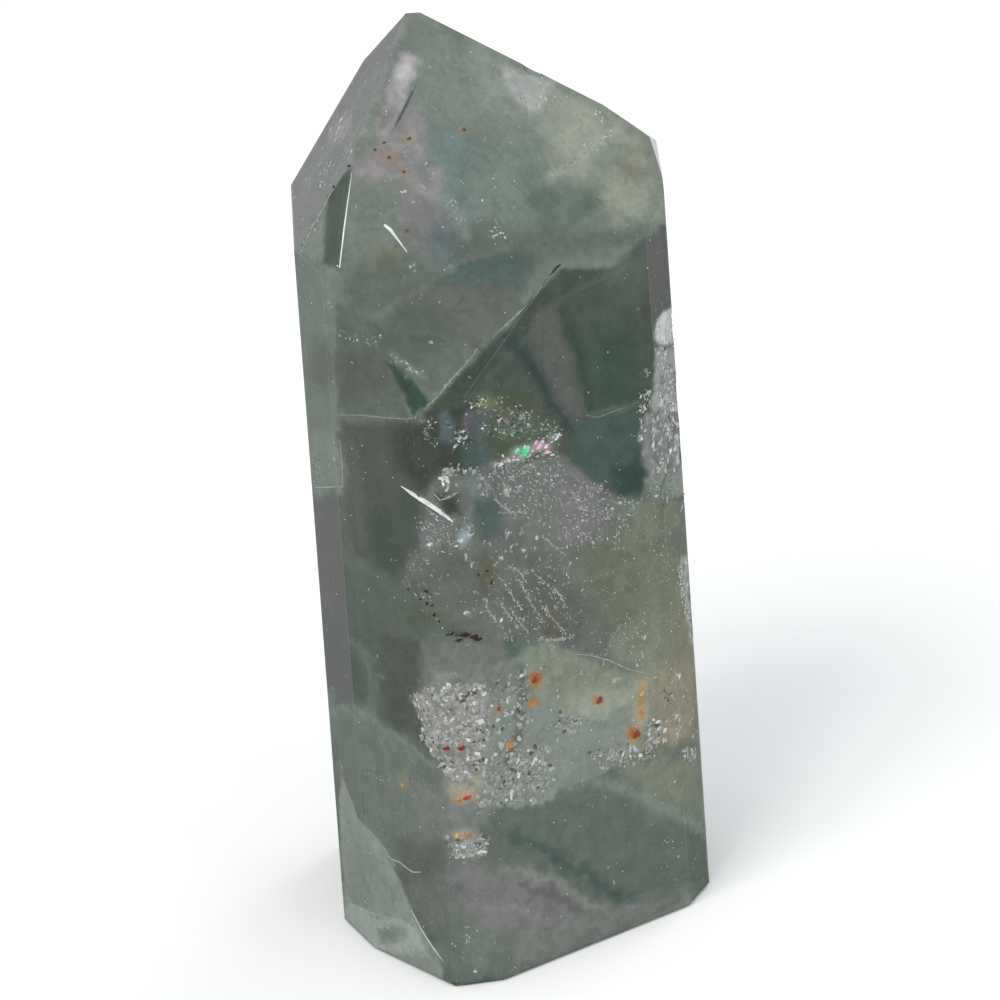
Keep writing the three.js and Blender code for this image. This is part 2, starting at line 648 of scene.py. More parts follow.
def outline_distance(points: np.ndarray, outline: np.ndarray) -> np.ndarray:
    """How far points are from a closed outline in the plane.

    Args:
        points: One point a row.
        outline: The outline's corners, one a row.

    Returns:
        Distances, negative inside.
    """
    inside = np.zeros(len(points), bool)
    for start, end in zip(outline, np.roll(outline, -1, axis=0)):
        rises = end[1] - start[1] or 1e-12
        at = (end[0] - start[0]) * (points[:, 1] - start[1]) / rises + start[0]
        inside ^= ((start[1] > points[:, 1]) != (end[1] > points[:, 1])) & (points[:, 0] < at)
    distance = line_distance(points, np.vstack((outline, outline[:1])))
    return np.where(inside, -distance, distance)


def line_distance(points: np.ndarray, line: np.ndarray) -> np.ndarray:
    """How far points are from an open line of straight stretches in the plane.

    Args:
        points: One point a row.
        line: The line's points, one a row.

    Returns:
        Distances.
    """
    nearest = np.full(len(points), np.inf)
    for start, end in zip(line[:-1], line[1:]):
        stretch = end - start
        share = np.clip((points - start) @ stretch / max(stretch @ stretch, 1e-12), 0.0, 1.0)
        nearest = np.minimum(nearest, np.linalg.norm(points - start - share[:, None] * stretch, axis=1))
    return nearest


# -------- the stone's cloudiness

def share_of(values: np.ndarray, low: float, high: float, most: float) -> np.ndarray:
    """How far values have come from low to high, between 0 and most, as a column."""
    return np.clip((values - low) / (high - low), 0.0, 1.0)[:, None] * most


def linear(look: Colour) -> np.ndarray:
    """A colour given as 0 to 255 screen values, as light."""
    return ((np.array(look) / 255 + 0.055) / 1.055) ** 2.4


def mirrored(facing: np.ndarray, ior: float) -> np.ndarray:
    """How much light a polished face mirrors.

    Args:
        facing: How squarely it is looked at.
        ior: Its index of refraction.

    Returns:
        The share that it mirrors.
    """
    inner = np.sqrt(1.0 - (1.0 - facing**2) / ior**2)
    across = ((facing - ior * inner) / (facing + ior * inner)) ** 2
    along = ((ior * facing - inner) / (ior * facing + inner)) ** 2
    return (across + along) / 2.0


class Tint(Enum):
    """The stone's hues: how far red and blue stand from green on the screen."""

    SAGE = (-7, -7)
    FOREST = (-13, -9)
    TEAL = (-13, -4)
    OLIVE = (-6, -13)
    GREY = (-3, -4)
    LILAC = (2, 0)
    SAND = (4, -18)
    BLUE = (-10, 1)
    RUST = (54, -46)
    AMBER = (36, -56)
    WARM = (3, -7)

    def __call__(self, green: float) -> Colour:
        """The hue as a screen colour, by how bright its green is."""
        return green + self.value[0], green, green + self.value[1]


SAGE, FOREST, TEAL, OLIVE, GREY, LILAC, SAND, BLUE, RUST, AMBER, WARM = Tint


class Shape(Enum):
    """How a zone's points are read."""

    AREA = "a closed outline"
    BAND = "a line of some width"
    SPOT = "a middle and two half-widths, then a turn in degrees"


@dataclass(frozen=True)
class Zone:
    """One patch of the front, placed by the camera's pixels.

    look is the screen colour that it comes out in, and haze how far it hides what lies deeper. soft
    is how wide its edge fades, rag how far its edge wanders and width how wide a band is, all in
    pixels. share is how much of what was there it covers. sugar and pits are how densely pale
    grains and dark specks lie in it.
    """

    shape: Shape
    points: tuple[Pixel, ...]
    look: Colour
    soft: float
    haze: float = 0.68
    rag: float = 3.0
    share: float = 1.0
    width: float = 4.0
    sugar: float = 0.0
    pits: float = 0.0


def area(look: Colour, soft: float, *points: Pixel, **more: float) -> Zone:
    """A zone with a closed outline."""
    return Zone(Shape.AREA, points, look, soft, **more)


def band(look: Colour, soft: float, width: float, *points: Pixel, **more: float) -> Zone:
    """A zone along a line."""
    return Zone(Shape.BAND, points, look, soft, width=width, **more)


def spot(look: Colour, soft: float, middle: Pixel, halves: Pixel, turn: float, **more: float) -> Zone:
    """An oval zone."""
    return Zone(Shape.SPOT, (middle, halves, (turn, 0.0)), look, soft, **more)


# Lines that several zones share, in the camera's pixels.
SHOULDER = ((668, 226), (644, 236), (610, 263), (559, 264), (545, 281), (526, 306), (509, 323), (477, 351),
            (451, 380), (423, 412), (414, 419), (380, 417), (337, 415))
CROWN_EDGE = ((297, 250), (326, 205), (345, 160), (364, 119))
FLAKE_EDGE = ((342, 778), (357, 817), (383, 846), (403, 886), (411, 909), (423, 931), (443, 960))
VEIL = ((400, 584), (417, 557), (432, 540), (446, 520), (438, 500), (441, 480), (462, 470), (500, 468),
        (556, 460), (570, 478), (598, 486), (614, 500), (640, 502), (655, 486), (684, 488), (690, 560),
        (692, 640), (660, 668), (600, 664), (540, 640), (500, 640), (480, 642), (462, 628), (440, 618),
        (428, 600))
GRAINS = ((414, 699), (428, 688), (440, 672), (478, 681), (500, 662), (530, 656), (545, 690), (560, 715),
          (600, 720), (650, 690), (646, 745), (610, 770), (560, 790), (545, 808), (478, 808), (486, 850),
          (452, 852), (452, 795), (444, 758), (424, 736))

# The front of the stone, zone over zone.
FRONT_ZONES = (
    # the upper part, above the shoulder line: pale towards the tip, darker towards the shoulder
    area(SAGE(132), 6, (300, 420), (280, 180), (330, 90), (400, 0), (680, 130), *SHOULDER),
    area(SAGE(114), 18, (340, 262), (470, 218), (560, 215), (662, 222), (610, 262), (559, 262), (509, 323),
         (451, 380), (414, 415), (380, 410), (335, 300)),
    area(SAGE(133), 12, (404, 8), (440, 16), (470, 40), (466, 110), (436, 96), (424, 60)),
    area(SAGE(142), 12, (470, 40), (560, 84), (540, 124), (500, 128), (474, 96)),
    area(GREY(168), 5, (502, 64), (523, 72), (552, 82), (543, 108), (531, 113), (512, 94), haze=0.7,
         sugar=0.12),
    area(OLIVE(156), 20, (552, 84), (606, 104), (616, 140), (580, 166), (552, 160), (548, 124)),
    area(OLIVE(146), 10, (604, 108), (650, 146), (655, 178), (626, 160), (606, 140)),
    area(TEAL(127), 11, (427, 124), (470, 128), (486, 170), (480, 222), (450, 226), (440, 190), (426, 150)),
    area(FOREST(130), 12, (476, 140), (540, 150), (548, 212), (505, 220), (470, 200)),
    area(LILAC(138), 10, (400, 166), (440, 172), (440, 198), (404, 200)),
    area(LILAC(122), 12, (400, 198), (436, 204), (450, 232), (430, 262), (400, 240)),
    spot(BLUE(114), 12, (440, 244), (12, 20), 0),
    band(SAGE(136), 7, 7, (450, 200), (458, 216), (466, 236), sugar=0.2),
    band(OLIVE(166), 8, 6, (550, 180), (570, 165), (590, 148), (614, 132), rag=5, sugar=0.1),
    area(OLIVE(148), 14, (573, 166), (655, 176), (662, 218), (614, 222), (580, 192)),
    spot(SAND(122), 8, (633, 170), (9, 9), 0, share=0.7),
    area(FOREST(120), 12, (530, 186), (596, 186), (606, 212), (560, 226), (530, 212)),
    area(SAGE(128), 12, (372, 176), (398, 178), (400, 250), (358, 250), (350, 200)),
    spot(SAND(116), 10, (384, 256), (14, 10), 0, share=0.6),
    area(GREY(109), 9, (404, 292), (442, 272), (520, 286), (518, 306), (478, 348), (424, 320)),
    area(TEAL(104), 12, (452, 260), (512, 248), (532, 266), (524, 284), (470, 286), (446, 274), rag=5),
    band(SAGE(122), 4, 4, (367, 322), (389, 308), (414, 292), (442, 272), (464, 258), (509, 247), rag=3),
    area(SAGE(106), 8, (364, 326), (414, 300), (450, 318), (440, 350), (416, 366), (388, 352)),
    area(SAGE(111), 3, (335, 302), (357, 309), (379, 347), (394, 383), (409, 416), (337, 415)),
    area(GREY(102), 10, (341, 352), (376, 350), (392, 380), (372, 398), (342, 395)),
    area(FOREST(88), 3, (384, 358), (404, 374), (424, 396), (430, 402), (414, 416), (404, 396)),
    band(SAGE(132), 3, 3, (389, 350), (400, 362), (414, 372), (426, 378), rag=2, sugar=0.2),
    # the left facet of the tip and the sliver below it
    area(GREY(138), 3, (286, 192), (325, 118), (385, 30), (412, 12), (350, 164), (297, 250), haze=0.7,
         sugar=0.05),
    band(GREY(150), 5, 4, (302, 196), (320, 160), (338, 128), (366, 82), (380, 64), rag=4, haze=0.75,
         sugar=0.25),
    spot(LILAC(156), 6, (342, 132), (7, 14), 30, haze=0.75, sugar=0.2),
    area(LILAC(152), 3, (400, 55), (414, 53), (420, 60), (416, 78), (403, 106), (389, 136), (380, 140),
         (377, 133), (389, 84), (396, 65), haze=0.7),
    spot(LILAC(186), 6, (406, 72), (7, 14), 12, haze=0.8),
    spot(LILAC(128), 4, (386, 120), (5, 14), 24, haze=0.7),
    area(LILAC(138), 7, (350, 164), (389, 136), (414, 111), (426, 122), (430, 144), (420, 167), (395, 178),
         (360, 182)),
    # a pale band along the crown's edge: painted edge highlight
    band(GREY(152), 3, 4, *CROWN_EDGE, sugar=0.2),
    area(SAGE(138), 3, (297, 250), (327, 197), (322, 264)),
    area(SAGE(103), 3, (327, 195), (350, 167), (340, 269), (323, 264), rag=1),
    # the narrow left facet: pale down to a clean cut
    area(SAGE(127), 2.5, (290, 250), (323, 262), (333, 302), (337, 400), (344, 487), (300, 489), rag=1.5),
    spot(SAGE(114), 9, (322, 366), (14, 24), 0),
    area(SAGE(134), 8, (304, 436), (342, 426), (344, 486), (302, 487), sugar=0.1),
    area(SAGE(110), 10, (300, 500), (345, 496), (352, 600), (310, 620)),
    band(SAGE(118), 7, 9, (330, 560), (328, 588), (336, 612), (352, 622)),
    # below the shoulder, left: dark grey with a paler, upright streak
    area(GREY(96), 9, (340, 418), (410, 420), (430, 480), (405, 560), (350, 560)),
    band(GREY(105), 10, 12, (350, 440), (356, 490), (362, 540)),
    area(GREY(84), 10, (396, 424), (440, 424), (446, 470), (420, 492), (398, 470)),
    area(SAGE(94), 10, (366, 516), (420, 486), (418, 546), (396, 580), (372, 570)),
    area(SAGE(106), 12, (320, 560), (372, 570), (400, 590), (430, 620), (350, 640)),
    # below the shoulder, right: dark green with a grey beam
    area(SAGE(95), 3, (423, 418), (451, 386), (509, 329), (540, 292), (562, 270), (612, 268), (640, 242),
         (672, 230), (676, 420), (650, 500), (600, 490), (560, 450), (520, 440), rag=1.5),
    area(SAGE(104), 12, (604, 274), (640, 246), (672, 232), (674, 290), (620, 296), haze=0.75),
    area(SAGE(90), 3, (423, 415), (451, 384), (509, 327), (545, 285), (562, 268), (600, 270), (560, 300),
         (500, 362), (446, 418), rag=1, haze=0.88),
    area(FOREST(92), 16, (592, 330), (630, 330), (640, 410), (606, 416), (590, 390), haze=0.75),
    area(GREY(100), 9, (531, 316), (560, 300), (574, 340), (588, 400), (582, 424), (562, 420), (540, 370)),
    band(BLUE(80), 9, 8, (508, 336), (530, 366), (552, 404), (572, 426)),
    band(GREY(93), 8, 7, (500, 350), (524, 384), (545, 412)),
    band(FOREST(82), 10, 7, (562, 312), (577, 350), (583, 386), (589, 412)),
    band(SAGE(112), 4, 3, (586, 414), (597, 417), (623, 407), (643, 398)),
    area(TEAL(97), 6, (574, 424), (640, 408), (650, 440), (646, 492), (600, 486), (572, 460)),
    area(TEAL(85), 8, (612, 470), (646, 458), (646, 496), (618, 498)),
    # the inner crack that splits light
    area(GREY(82), 8, (426, 416), (474, 404), (478, 470), (450, 482), (432, 466), rag=5),
    area(BLUE(104), 4, (439, 416), (447, 412), (455, 428), (454, 442), (441, 440), rag=2),
    area(OLIVE(96), 7, (474, 400), (520, 392), (560, 420), (560, 456), (500, 468), (474, 450)),
    spot(OLIVE(122), 6, (488, 403), (9, 8), -10, rag=2),
    spot(LILAC(104), 4, (468, 422), (5, 9), 0, rag=2),
    spot(BLUE(104), 6, (480, 424), (8, 12), 0),
    area(TEAL(100), 6, (466, 444), (490, 444), (492, 468), (462, 468)),
    # four bright spots where the crack splits light: painted highlights in green, pink and grey
    spot(FOREST(172), 5, (522, 452), (9, 5), -8, rag=1, haze=0.85),
    spot(LILAC(158), 5, (541, 447), (10, 5), 4, rag=1, haze=0.85),
    spot(LILAC(146), 4, (506, 462), (14, 4), -14, rag=1, haze=0.8),
    spot(GREY(140), 4, (552, 438), (7, 4), -30, rag=1),
    area(SAGE(104), 7, (490, 412), (530, 410), (556, 430), (530, 440), (500, 436), sugar=0.25, pits=0.4),
    # the veil across the middle and the olive part on its right
    area(GREY(114), 2.5, *VEIL, rag=5, sugar=0.25),
    area(GREY(118), 10, (500, 470), (560, 464), (600, 490), (604, 530), (560, 545), (510, 520), sugar=0.25),
    area(GREY(107), 8, (406, 584), (440, 548), (486, 556), (490, 600), (450, 616), (430, 600), sugar=0.2),
    area(BLUE(126), 3, (467, 474), (480, 472), (479, 500), (468, 546), (458, 549), (461, 530), (471, 504),
         rag=5, share=0.7, sugar=0.3),
    spot(BLUE(158), 4, (462, 540), (5, 8), 10, sugar=0.1),
    area(GREY(80), 6, (436, 494), (458, 496), (460, 514), (446, 516)),
    area(TEAL(102), 7, (474, 500), (496, 496), (500, 536), (480, 540)),
    area(LILAC(119), 8, (556, 482), (600, 486), (604, 536), (566, 544), sugar=0.15),
    area(GREY(106), 14, (496, 600), (540, 560), (590, 600), (596, 640), (540, 640), sugar=0.1),
    area(OLIVE(116), 16, (570, 556), (650, 510), (690, 560), (692, 640), (620, 660), (592, 600)),
    area(OLIVE(124), 16, (626, 506), (676, 496), (684, 530), (640, 540)),
    area(OLIVE(124), 24, (640, 560), (690, 560), (694, 700), (660, 720), (636, 640)),
    spot(SAND(128), 12, (686, 636), (9, 40), 4, share=0.8),
    spot(SAND(92), 9, (487, 574), (9, 14), 10, share=0.7),
    spot(OLIVE(98), 10, (420, 620), (16, 12), 20, share=0.7),
    band(SAND(90), 9, 6, (410, 589), (426, 592), (436, 612), (452, 622), (480, 640), share=0.5, pits=0.5),
    spot(SAND(100), 9, (553, 624), (9, 12), 0, share=0.7),
    area(OLIVE(130), 10, (612, 640), (650, 616), (672, 640), (662, 668), (620, 664), sugar=0.1),
    # the lower part, left
    area(SAGE(102), 10, (326, 620), (368, 630), (372, 700), (335, 705)),
    band(SAGE(120), 6, 7, (350, 640), (366, 655), (372, 680), (374, 712)),
    area(GREY(95), 8, (378, 632), (420, 640), (424, 700), (430, 752), (384, 718)),
    area(GREY(117), 8, (424, 640), (500, 636), (512, 660), (480, 680), (440, 690), (420, 690)),
    area(SAGE(120), 2.5, (335, 706), (360, 716), (400, 736), (437, 768), (452, 800), (448, 860), (400, 870),
         (346, 800), rag=2),
    band(SAGE(130), 3, 3, (338, 706), (360, 718), (400, 736), (437, 767), sugar=0.1),
    spot(SAND(132), 6, (402, 785), (5, 8), 20, share=0.6, sugar=0.3),
    area(GREY(122), 10, (410, 780), (452, 786), (454, 850), (424, 840)),
    area(GREY(106), 10, (395, 836), (440, 846), (448, 872), (420, 884), (402, 870)),
    area(GREY(116), 9, (404, 884), (450, 874), (470, 920), (430, 935), (412, 908)),
    # the flake at the foot
    area(SAGE(146), 2.5, *FLAKE_EDGE, (443, 985), (360, 960), (345, 920), (338, 800), rag=1),
    area(SAGE(138), 8, (345, 812), (366, 850), (398, 890), (402, 910), (352, 905)),
    area(SAGE(160), 3, (349, 903), (374, 914), (400, 920), (417, 929), (432, 958), (360, 950), (346, 922)),
    spot(SAGE(132), 6, (391, 935), (12, 9), 0),
    # the grainy patch and the pale green one beside it
    area(OLIVE(136), 5, (520, 650), (548, 640), (600, 664), (652, 676), (650, 745), (600, 770), (545, 745),
         (525, 700), rag=4, sugar=0.2),
    area(OLIVE(154), 12, (570, 694), (636, 690), (640, 748), (600, 764), (566, 748), sugar=0.2),
    area(SAGE(138), 3, *GRAINS, rag=4, sugar=0.1),
    area(WARM(146), 6, (424, 696), (450, 690), (486, 690), (490, 740), (470, 770), (440, 750), (424, 730),
         haze=0.75, sugar=0.3),
    area(GREY(124), 7, (470, 664), (520, 660), (524, 690), (490, 690), (440, 690)),
    area(SAGE(138), 8, (496, 756), (550, 740), (556, 790), (500, 804), sugar=0.3),
    band(SAGE(104), 5, 6, (520, 668), (524, 700), (519, 730), (510, 762), rag=4),
    area(SAND(150), 6, (449, 776), (484, 772), (478, 796), (452, 796), haze=0.7),
    area(GREY(124), 6, (452, 804), (486, 802), (486, 828), (454, 828)),
    area(SAND(138), 17, (650, 670), (690, 666), (700, 746), (656, 752), rag=4, sugar=0.3, pits=0.3),
    # the foot, right: green, teal and grey-purple bands with pale streaks
    area(SAGE(112), 7, (486, 815), (545, 808), (600, 775), (660, 748), (700, 740), (712, 880), (600, 945),
         (520, 930), (470, 870)),
    area(OLIVE(130), 18, (620, 762), (700, 752), (706, 812), (650, 806)),
    band(SAGE(140), 9, 7, (586, 780), (620, 788), (650, 800), (702, 828), share=0.8),
    band(TEAL(94), 9, 11, (516, 838), (556, 858), (596, 882), (632, 902), rag=6),
    area(LILAC(120), 22, (450, 866), (530, 872), (580, 906), (590, 930), (530, 950), (470, 930), share=0.95),
    band(GREY(134), 6, 8, (508, 868), (556, 884), (604, 914), rag=5),
    band(LILAC(104), 4, 4, (520, 884), (556, 898), (590, 918), rag=4),
    band(GREY(130), 5, 5, (486, 906), (530, 914), (566, 930), rag=4),
    area(GREY(124), 8, (500, 934), (580, 916), (640, 900), (690, 886), (600, 946), (520, 972)),
    area(SAGE(120), 9, (452, 900), (500, 935), (520, 975), (455, 986), (436, 950)),
    # the facet that the right outline hides, then its worn and broken places
    area(SAGE(98), 2, (660, 226), (690, 226), (700, 500), (672, 500), rag=1, haze=0.95),
    area(GREY(196), 2.5, (673, 308), (664, 311), (656, 324), (654, 338), (660, 344), (676, 344), rag=1,
         haze=0.95),
    area(GREY(150), 4, (656, 346), (680, 348), (684, 420), (664, 420), (652, 400), rag=5, haze=0.8,
         sugar=0.2),
    area(GREY(136), 5, (646, 410), (684, 416), (688, 480), (652, 486), (640, 440), rag=5, haze=0.92,
         sugar=0.3),
    area(SAGE(134), 4, (644, 478), (688, 474), (690, 496), (650, 496), rag=3, haze=0.8, sugar=0.1),
    band(GREY(160), 4, 5, (684, 560), (688, 600), (692, 640), haze=0.85, sugar=0.2),
    # rust halos
    spot(SAND(134), 8, (538, 686), (8, 14), 10, rag=1, share=0.7),
    spot(RUST(112), 5, (535, 679), (6, 6), -20, rag=1, haze=0.8),
    spot(RUST(120), 5, (533, 703), (4, 4), 0, rag=1),
    spot(RUST(116), 5, (498, 708), (4, 4), 0, rag=1, share=0.8),
    spot(RUST(126), 5, (510, 745), (4, 4), 0, rag=1),
    spot(RUST(112), 5, (446, 747), (5, 5), 0, rag=1),
    spot(RUST(112), 5, (461, 747), (6, 6), 0, rag=1),
    spot(RUST(116), 4, (598, 700), (5, 4), -25, rag=1),
    band(SAND(148), 10, 14, (642, 684), (640, 713), (634, 742), rag=3),
    band(AMBER(138), 6, 5, (642, 688), (640, 716), rag=1, share=0.85),
    spot(RUST(112), 4, (635, 734), (7, 6), 0, rag=1.5),
    spot(RUST(150), 5, (464, 798), (8, 3), -20, rag=1, share=0.6),
    spot(SAND(152), 5, (462, 834), (9, 3), 0, rag=1),
    spot(SAND(146), 7, (409, 139), (6, 5), -20, rag=1),
    spot(RUST(134), 9, (389, 158), (8, 6), 0, rag=1, share=0.3),
    spot(RUST(132), 6, (404, 173), (4, 4), 0, rag=1, share=0.3),
    spot(SAND(128), 6, (464, 130), (4, 4), 0, rag=1),
    spot(SAND(122), 7, (407, 231), (4, 4), 0, rag=1),
)


class Clouds:
    """Colour and haze of the stone at the points of its skin, laid on zone by zone.

    Scales are in waves per metre. drifts move the ragged edges of zones, by scale and strength.
    Each of green, grey and teal says from where to where on its noise it comes in, and how much of
    it there is at most. The light is what the studio gives to a face: plain, and more by how far
    the face turns sideways and up. mirrored_dark is how much of the mirrored surround is missing
    above, through is the light that comes through the stone, veil and kept are how the picture
    lifts and dims a colour. Faces seen more flatly than flattest are lit as if seen squarely.
    """

    seed: int = 7
    drifts: tuple[tuple[float, float], ...] = ((420.0, 0.7), (1500.0, 0.6))
    drift_pixels: float = 2.0
    patch_scales: tuple[float, float, float] = (90.0, 55.0, 160.0)
    band_tilt: tuple[float, float, float] = (0.35, 0.55, 0.76)
    band_scale: float = 520.0
    band_wander: float = 3.0
    green: tuple[float, float, float] = (-0.25, 0.35, 1.0)
    grey: tuple[float, float, float] = (0.05, 0.45, 0.8)
    teal: tuple[float, float, float] = (0.3, 0.9, 0.45)
    base_haze: float = 0.7
    haze_swing: float = 0.12
    rim_haze: float = 0.95
    rim_turn: float = 0.6
    rim_fade: float = 0.2
    most_sugar: float = 0.35
    sugar_start: float = 0.12
    sugar_swing: float = 0.7
    light: tuple[float, float, float] = (0.93, 0.22, 0.26)
    mirrored_dark: float = 0.6
    mirror_turn: float = 0.4
    through: float = 0.012
    veil: float = 0.026
    kept: float = 0.88
    flattest: float = 0.2
    least_facing: float = 0.25
    darkest: float = 0.25
    brightest: float = 0.85

    def __init__(self, points: np.ndarray, normals: np.ndarray, viewpoint: Viewpoint) -> None:
        """Starts from the growth bands that run through the whole stone, then lays on the front's zones.

        Args:
            points: The skin's points, in metres.
            normals: The way that the skin faces there.
            viewpoint: The camera whose pixels place the zones of the front.
        """
        self.points, self.normals = points, normals
        self.ahead = np.array(viewpoint.ahead)
        self.front = viewpoint.facing(normals)
        self.pixels = viewpoint.pixels(points)
        noise.seed_set(self.seed)
        (coarse, strong), (fine, weak) = self.drifts
        self.drift = np.array([
            [*(noise.noise_vector(point * coarse) * strong + noise.noise_vector(point * fine) * weak)]
            for point in map(Vector, points)
        ])
        self._grow()
        for zone in FRONT_ZONES:
            self._lay(zone)
        oblique = np.clip((self.rim_turn + self.normals @ self.ahead) / self.rim_fade, 0.0, 1.0)
        self.haze += (self.rim_haze - self.haze) * (oblique * self.front)

    def _grow(self) -> None:
        """The bands and patches of the whole stone, which the hidden sides show."""
        pale, green, grey, teal = (linear(look) for look in (SAGE(136), FOREST(100), LILAC(116), TEAL(100)))
        large, wide, small = self.patch_scales
        patches, clouded, sugared = np.array([
            (noise.fractal(point * large, 0.9, 2.1, 4),
             noise.fractal(point * wide + Vector((7, 3, 1)), 0.8, 2.2, 4),
             noise.noise(point * small + Vector((1, 9, 4))))
            for point in map(Vector, self.points)
        ]).T
        along = self.points @ np.array(self.band_tilt)
        bands = np.sin(along * self.band_scale + patches * self.band_wander)
        colour = pale + (green - pale) * share_of(patches, *self.green)
        colour = colour + (grey - colour) * share_of(clouded, *self.grey)
        self.colour = colour + (teal - colour) * share_of(bands, *self.teal)
        self.haze = self.base_haze + self.haze_swing * clouded
        self.sugar = np.clip(sugared * self.sugar_swing - self.sugar_start, 0.0, self.most_sugar)
        self.pits = np.zeros(len(self.points))

    def _lay(self, zone: Zone) -> None:
        """Lays one zone over what is there.

        Args:
            zone: The patch, band or spot.
        """
        at = self.pixels + self.drift[:, :2] * zone.rag * self.drift_pixels
        if zone.shape is Shape.AREA:
            gap = outline_distance(at, np.array(zone.points, float))
        elif zone.shape is Shape.BAND:
            gap = line_distance(at, np.array(zone.points, float)) - zone.width / 2
        else:
            middle, halves, turn = zone.points
            angle = math.radians(turn[0])
            across, down = (at - np.array(middle)).T
            turned = np.stack((across * math.cos(angle) + down * math.sin(angle),
                               down * math.cos(angle) - across * math.sin(angle)), axis=1)
            gap = (np.linalg.norm(turned / np.array(halves), axis=1) - 1.0) * min(halves)
        cover = np.clip(0.5 - gap / (2.0 * zone.soft), 0.0, 1.0)
        cover = cover * cover * (3.0 - 2.0 * cover) * zone.share * self.front
        self.colour += (linear(zone.look) - self.colour) * cover[:, None]
        for name in ("haze", "sugar", "pits"):
            old = getattr(self, name)
            old += (getattr(zone, name) - old) * cover

    def cloud_colour(self) -> np.ndarray:
        """Works out how the cloud is coloured, so that with gloss and depth it comes out in the look.

        Returns:
            One colour a row.
        """
        side, up = np.abs(self.normals[:, 1]), np.maximum(self.normals[:, 2], 0.0)
        toward = -(self.normals @ self.ahead)
        facing = np.where(toward > self.flattest, np.clip(toward, self.least_facing, 1.0), 1.0)
        bright = 2.0**Studio.exposure
        plain, sideways, upward = self.light
        lit = bright * (plain + sideways * side + upward * up) * (1.0 - mirrored(facing, CLOUD_IOR))
        surround = bright * (1.0 - self.mirrored_dark * np.where(facing > self.mirror_turn, up, 0.0))
        gloss = surround * mirrored(facing, CLOUD_IOR)
        clear = surround * mirrored(facing, FLUORITE_IOR) + self.through
        besides = (self.haze * gloss + (1.0 - self.haze) * clear)[:, None]
        cloud = ((self.colour - self.veil) / self.kept - besides) / (self.haze * lit)[:, None]
        return np.clip(cloud, self.colour * self.darkest, self.brightest)


@dataclass(frozen=True)
class PolishedFluorite:
    """Clear, clouded fluorite with a hand polish, or broken where it chipped.

    Scales are in grains per metre. depth is how strongly the inside absorbs, and frost is added to
    the sugar of the skin.
    """

    roughness: float = 0.05
    cloud_roughness: float = 0.12
    tint: Colour = (0.90, 0.93, 0.91)
    depth_colour: Colour = (0.53, 0.60, 0.56)
    depth: float = 150.0
    frost: float = 0.0
    mottle_scale: float = 600.0
    fine_scale: float = 2600.0
    sugar_scale: float = 2300.0
    patch_scale: float = 1300.0
    pit_scale: float = 2400.0
    grain_colour: Colour = (0.66, 0.68, 0.66)
    gap_colour: Colour = (0.11, 0.115, 0.105)
    pit_colour: Colour = (0.03, 0.03, 0.028)

    def material(self, name: str) -> bpy.types.Material:
        """Makes the finish: clear glass and cloud, mixed by how hazy the stone is at that place.

        Args:
            name: The material's name.

        Returns:
            The material.
        """
        graph = Graph(name)
        colour = graph.attribute("cloud")
        haze = graph.attribute("cloud", "Alpha")
        grain = graph.attribute("grain")
        sugar, pits = graph.channel(grain, "Red"), graph.channel(grain, "Green")
        sugar = (sugar + self.frost).math("MINIMUM", 1.0)
        place = graph.place()
        shade = graph.noise(self.mottle_scale, 5.0, place, 0.8).ramp(0.28, 0.72)
        colour = graph.mix(1.0, colour, graph.mix(shade, (0.86,) * 3, (1.12,) * 3), "MULTIPLY")
        shade = graph.noise(self.fine_scale, 4.0, place, 0.3).ramp(0.3, 0.7)
        colour = graph.mix(1.0, colour, graph.mix(shade, (0.93,) * 3, (1.06,) * 3), "MULTIPLY")
        sizes = {"Vector": place, "Scale": self.sugar_scale}
        pick = graph.channel(graph.node("ShaderNodeTexVoronoi", None, sizes, "Color"), "Red")
        patchy = graph.noise(self.patch_scale, 3.0, place, 0.5)
        cover = (patchy + sugar * 0.5).ramp(0.68, 0.86)
        white = cover * pick.ramp(0.35, 0.95)
        colour = graph.mix(cover * (1.0 - pick.ramp(0.0, 0.4)) * 0.55, colour, self.gap_colour)
        colour = graph.mix(white, colour, self.grain_colour)
        dark = (graph.noise(self.pit_scale, 2.0, place) + pits * 0.22).ramp(0.78, 0.84)
        colour = graph.mix(dark * 0.8, colour, self.pit_colour)
        haze = haze.math("MAXIMUM", white * 0.85).math("MAXIMUM", dark * 0.8)
        clear = graph.principled(
            Base_Color=self.tint, Roughness=self.roughness, IOR=FLUORITE_IOR, Transmission_Weight=1.0
        )
        cloud = graph.principled(
            Base_Color=colour, Roughness=self.cloud_roughness, IOR=FLUORITE_IOR,
            Specular_IOR_Level=CLOUD_GLOSS,
        )
        both = graph.node("ShaderNodeMixShader", None, {0: haze, 1: clear, 2: cloud})
        graph.absorb(self.depth_colour, self.depth)
        return graph.surface(both)


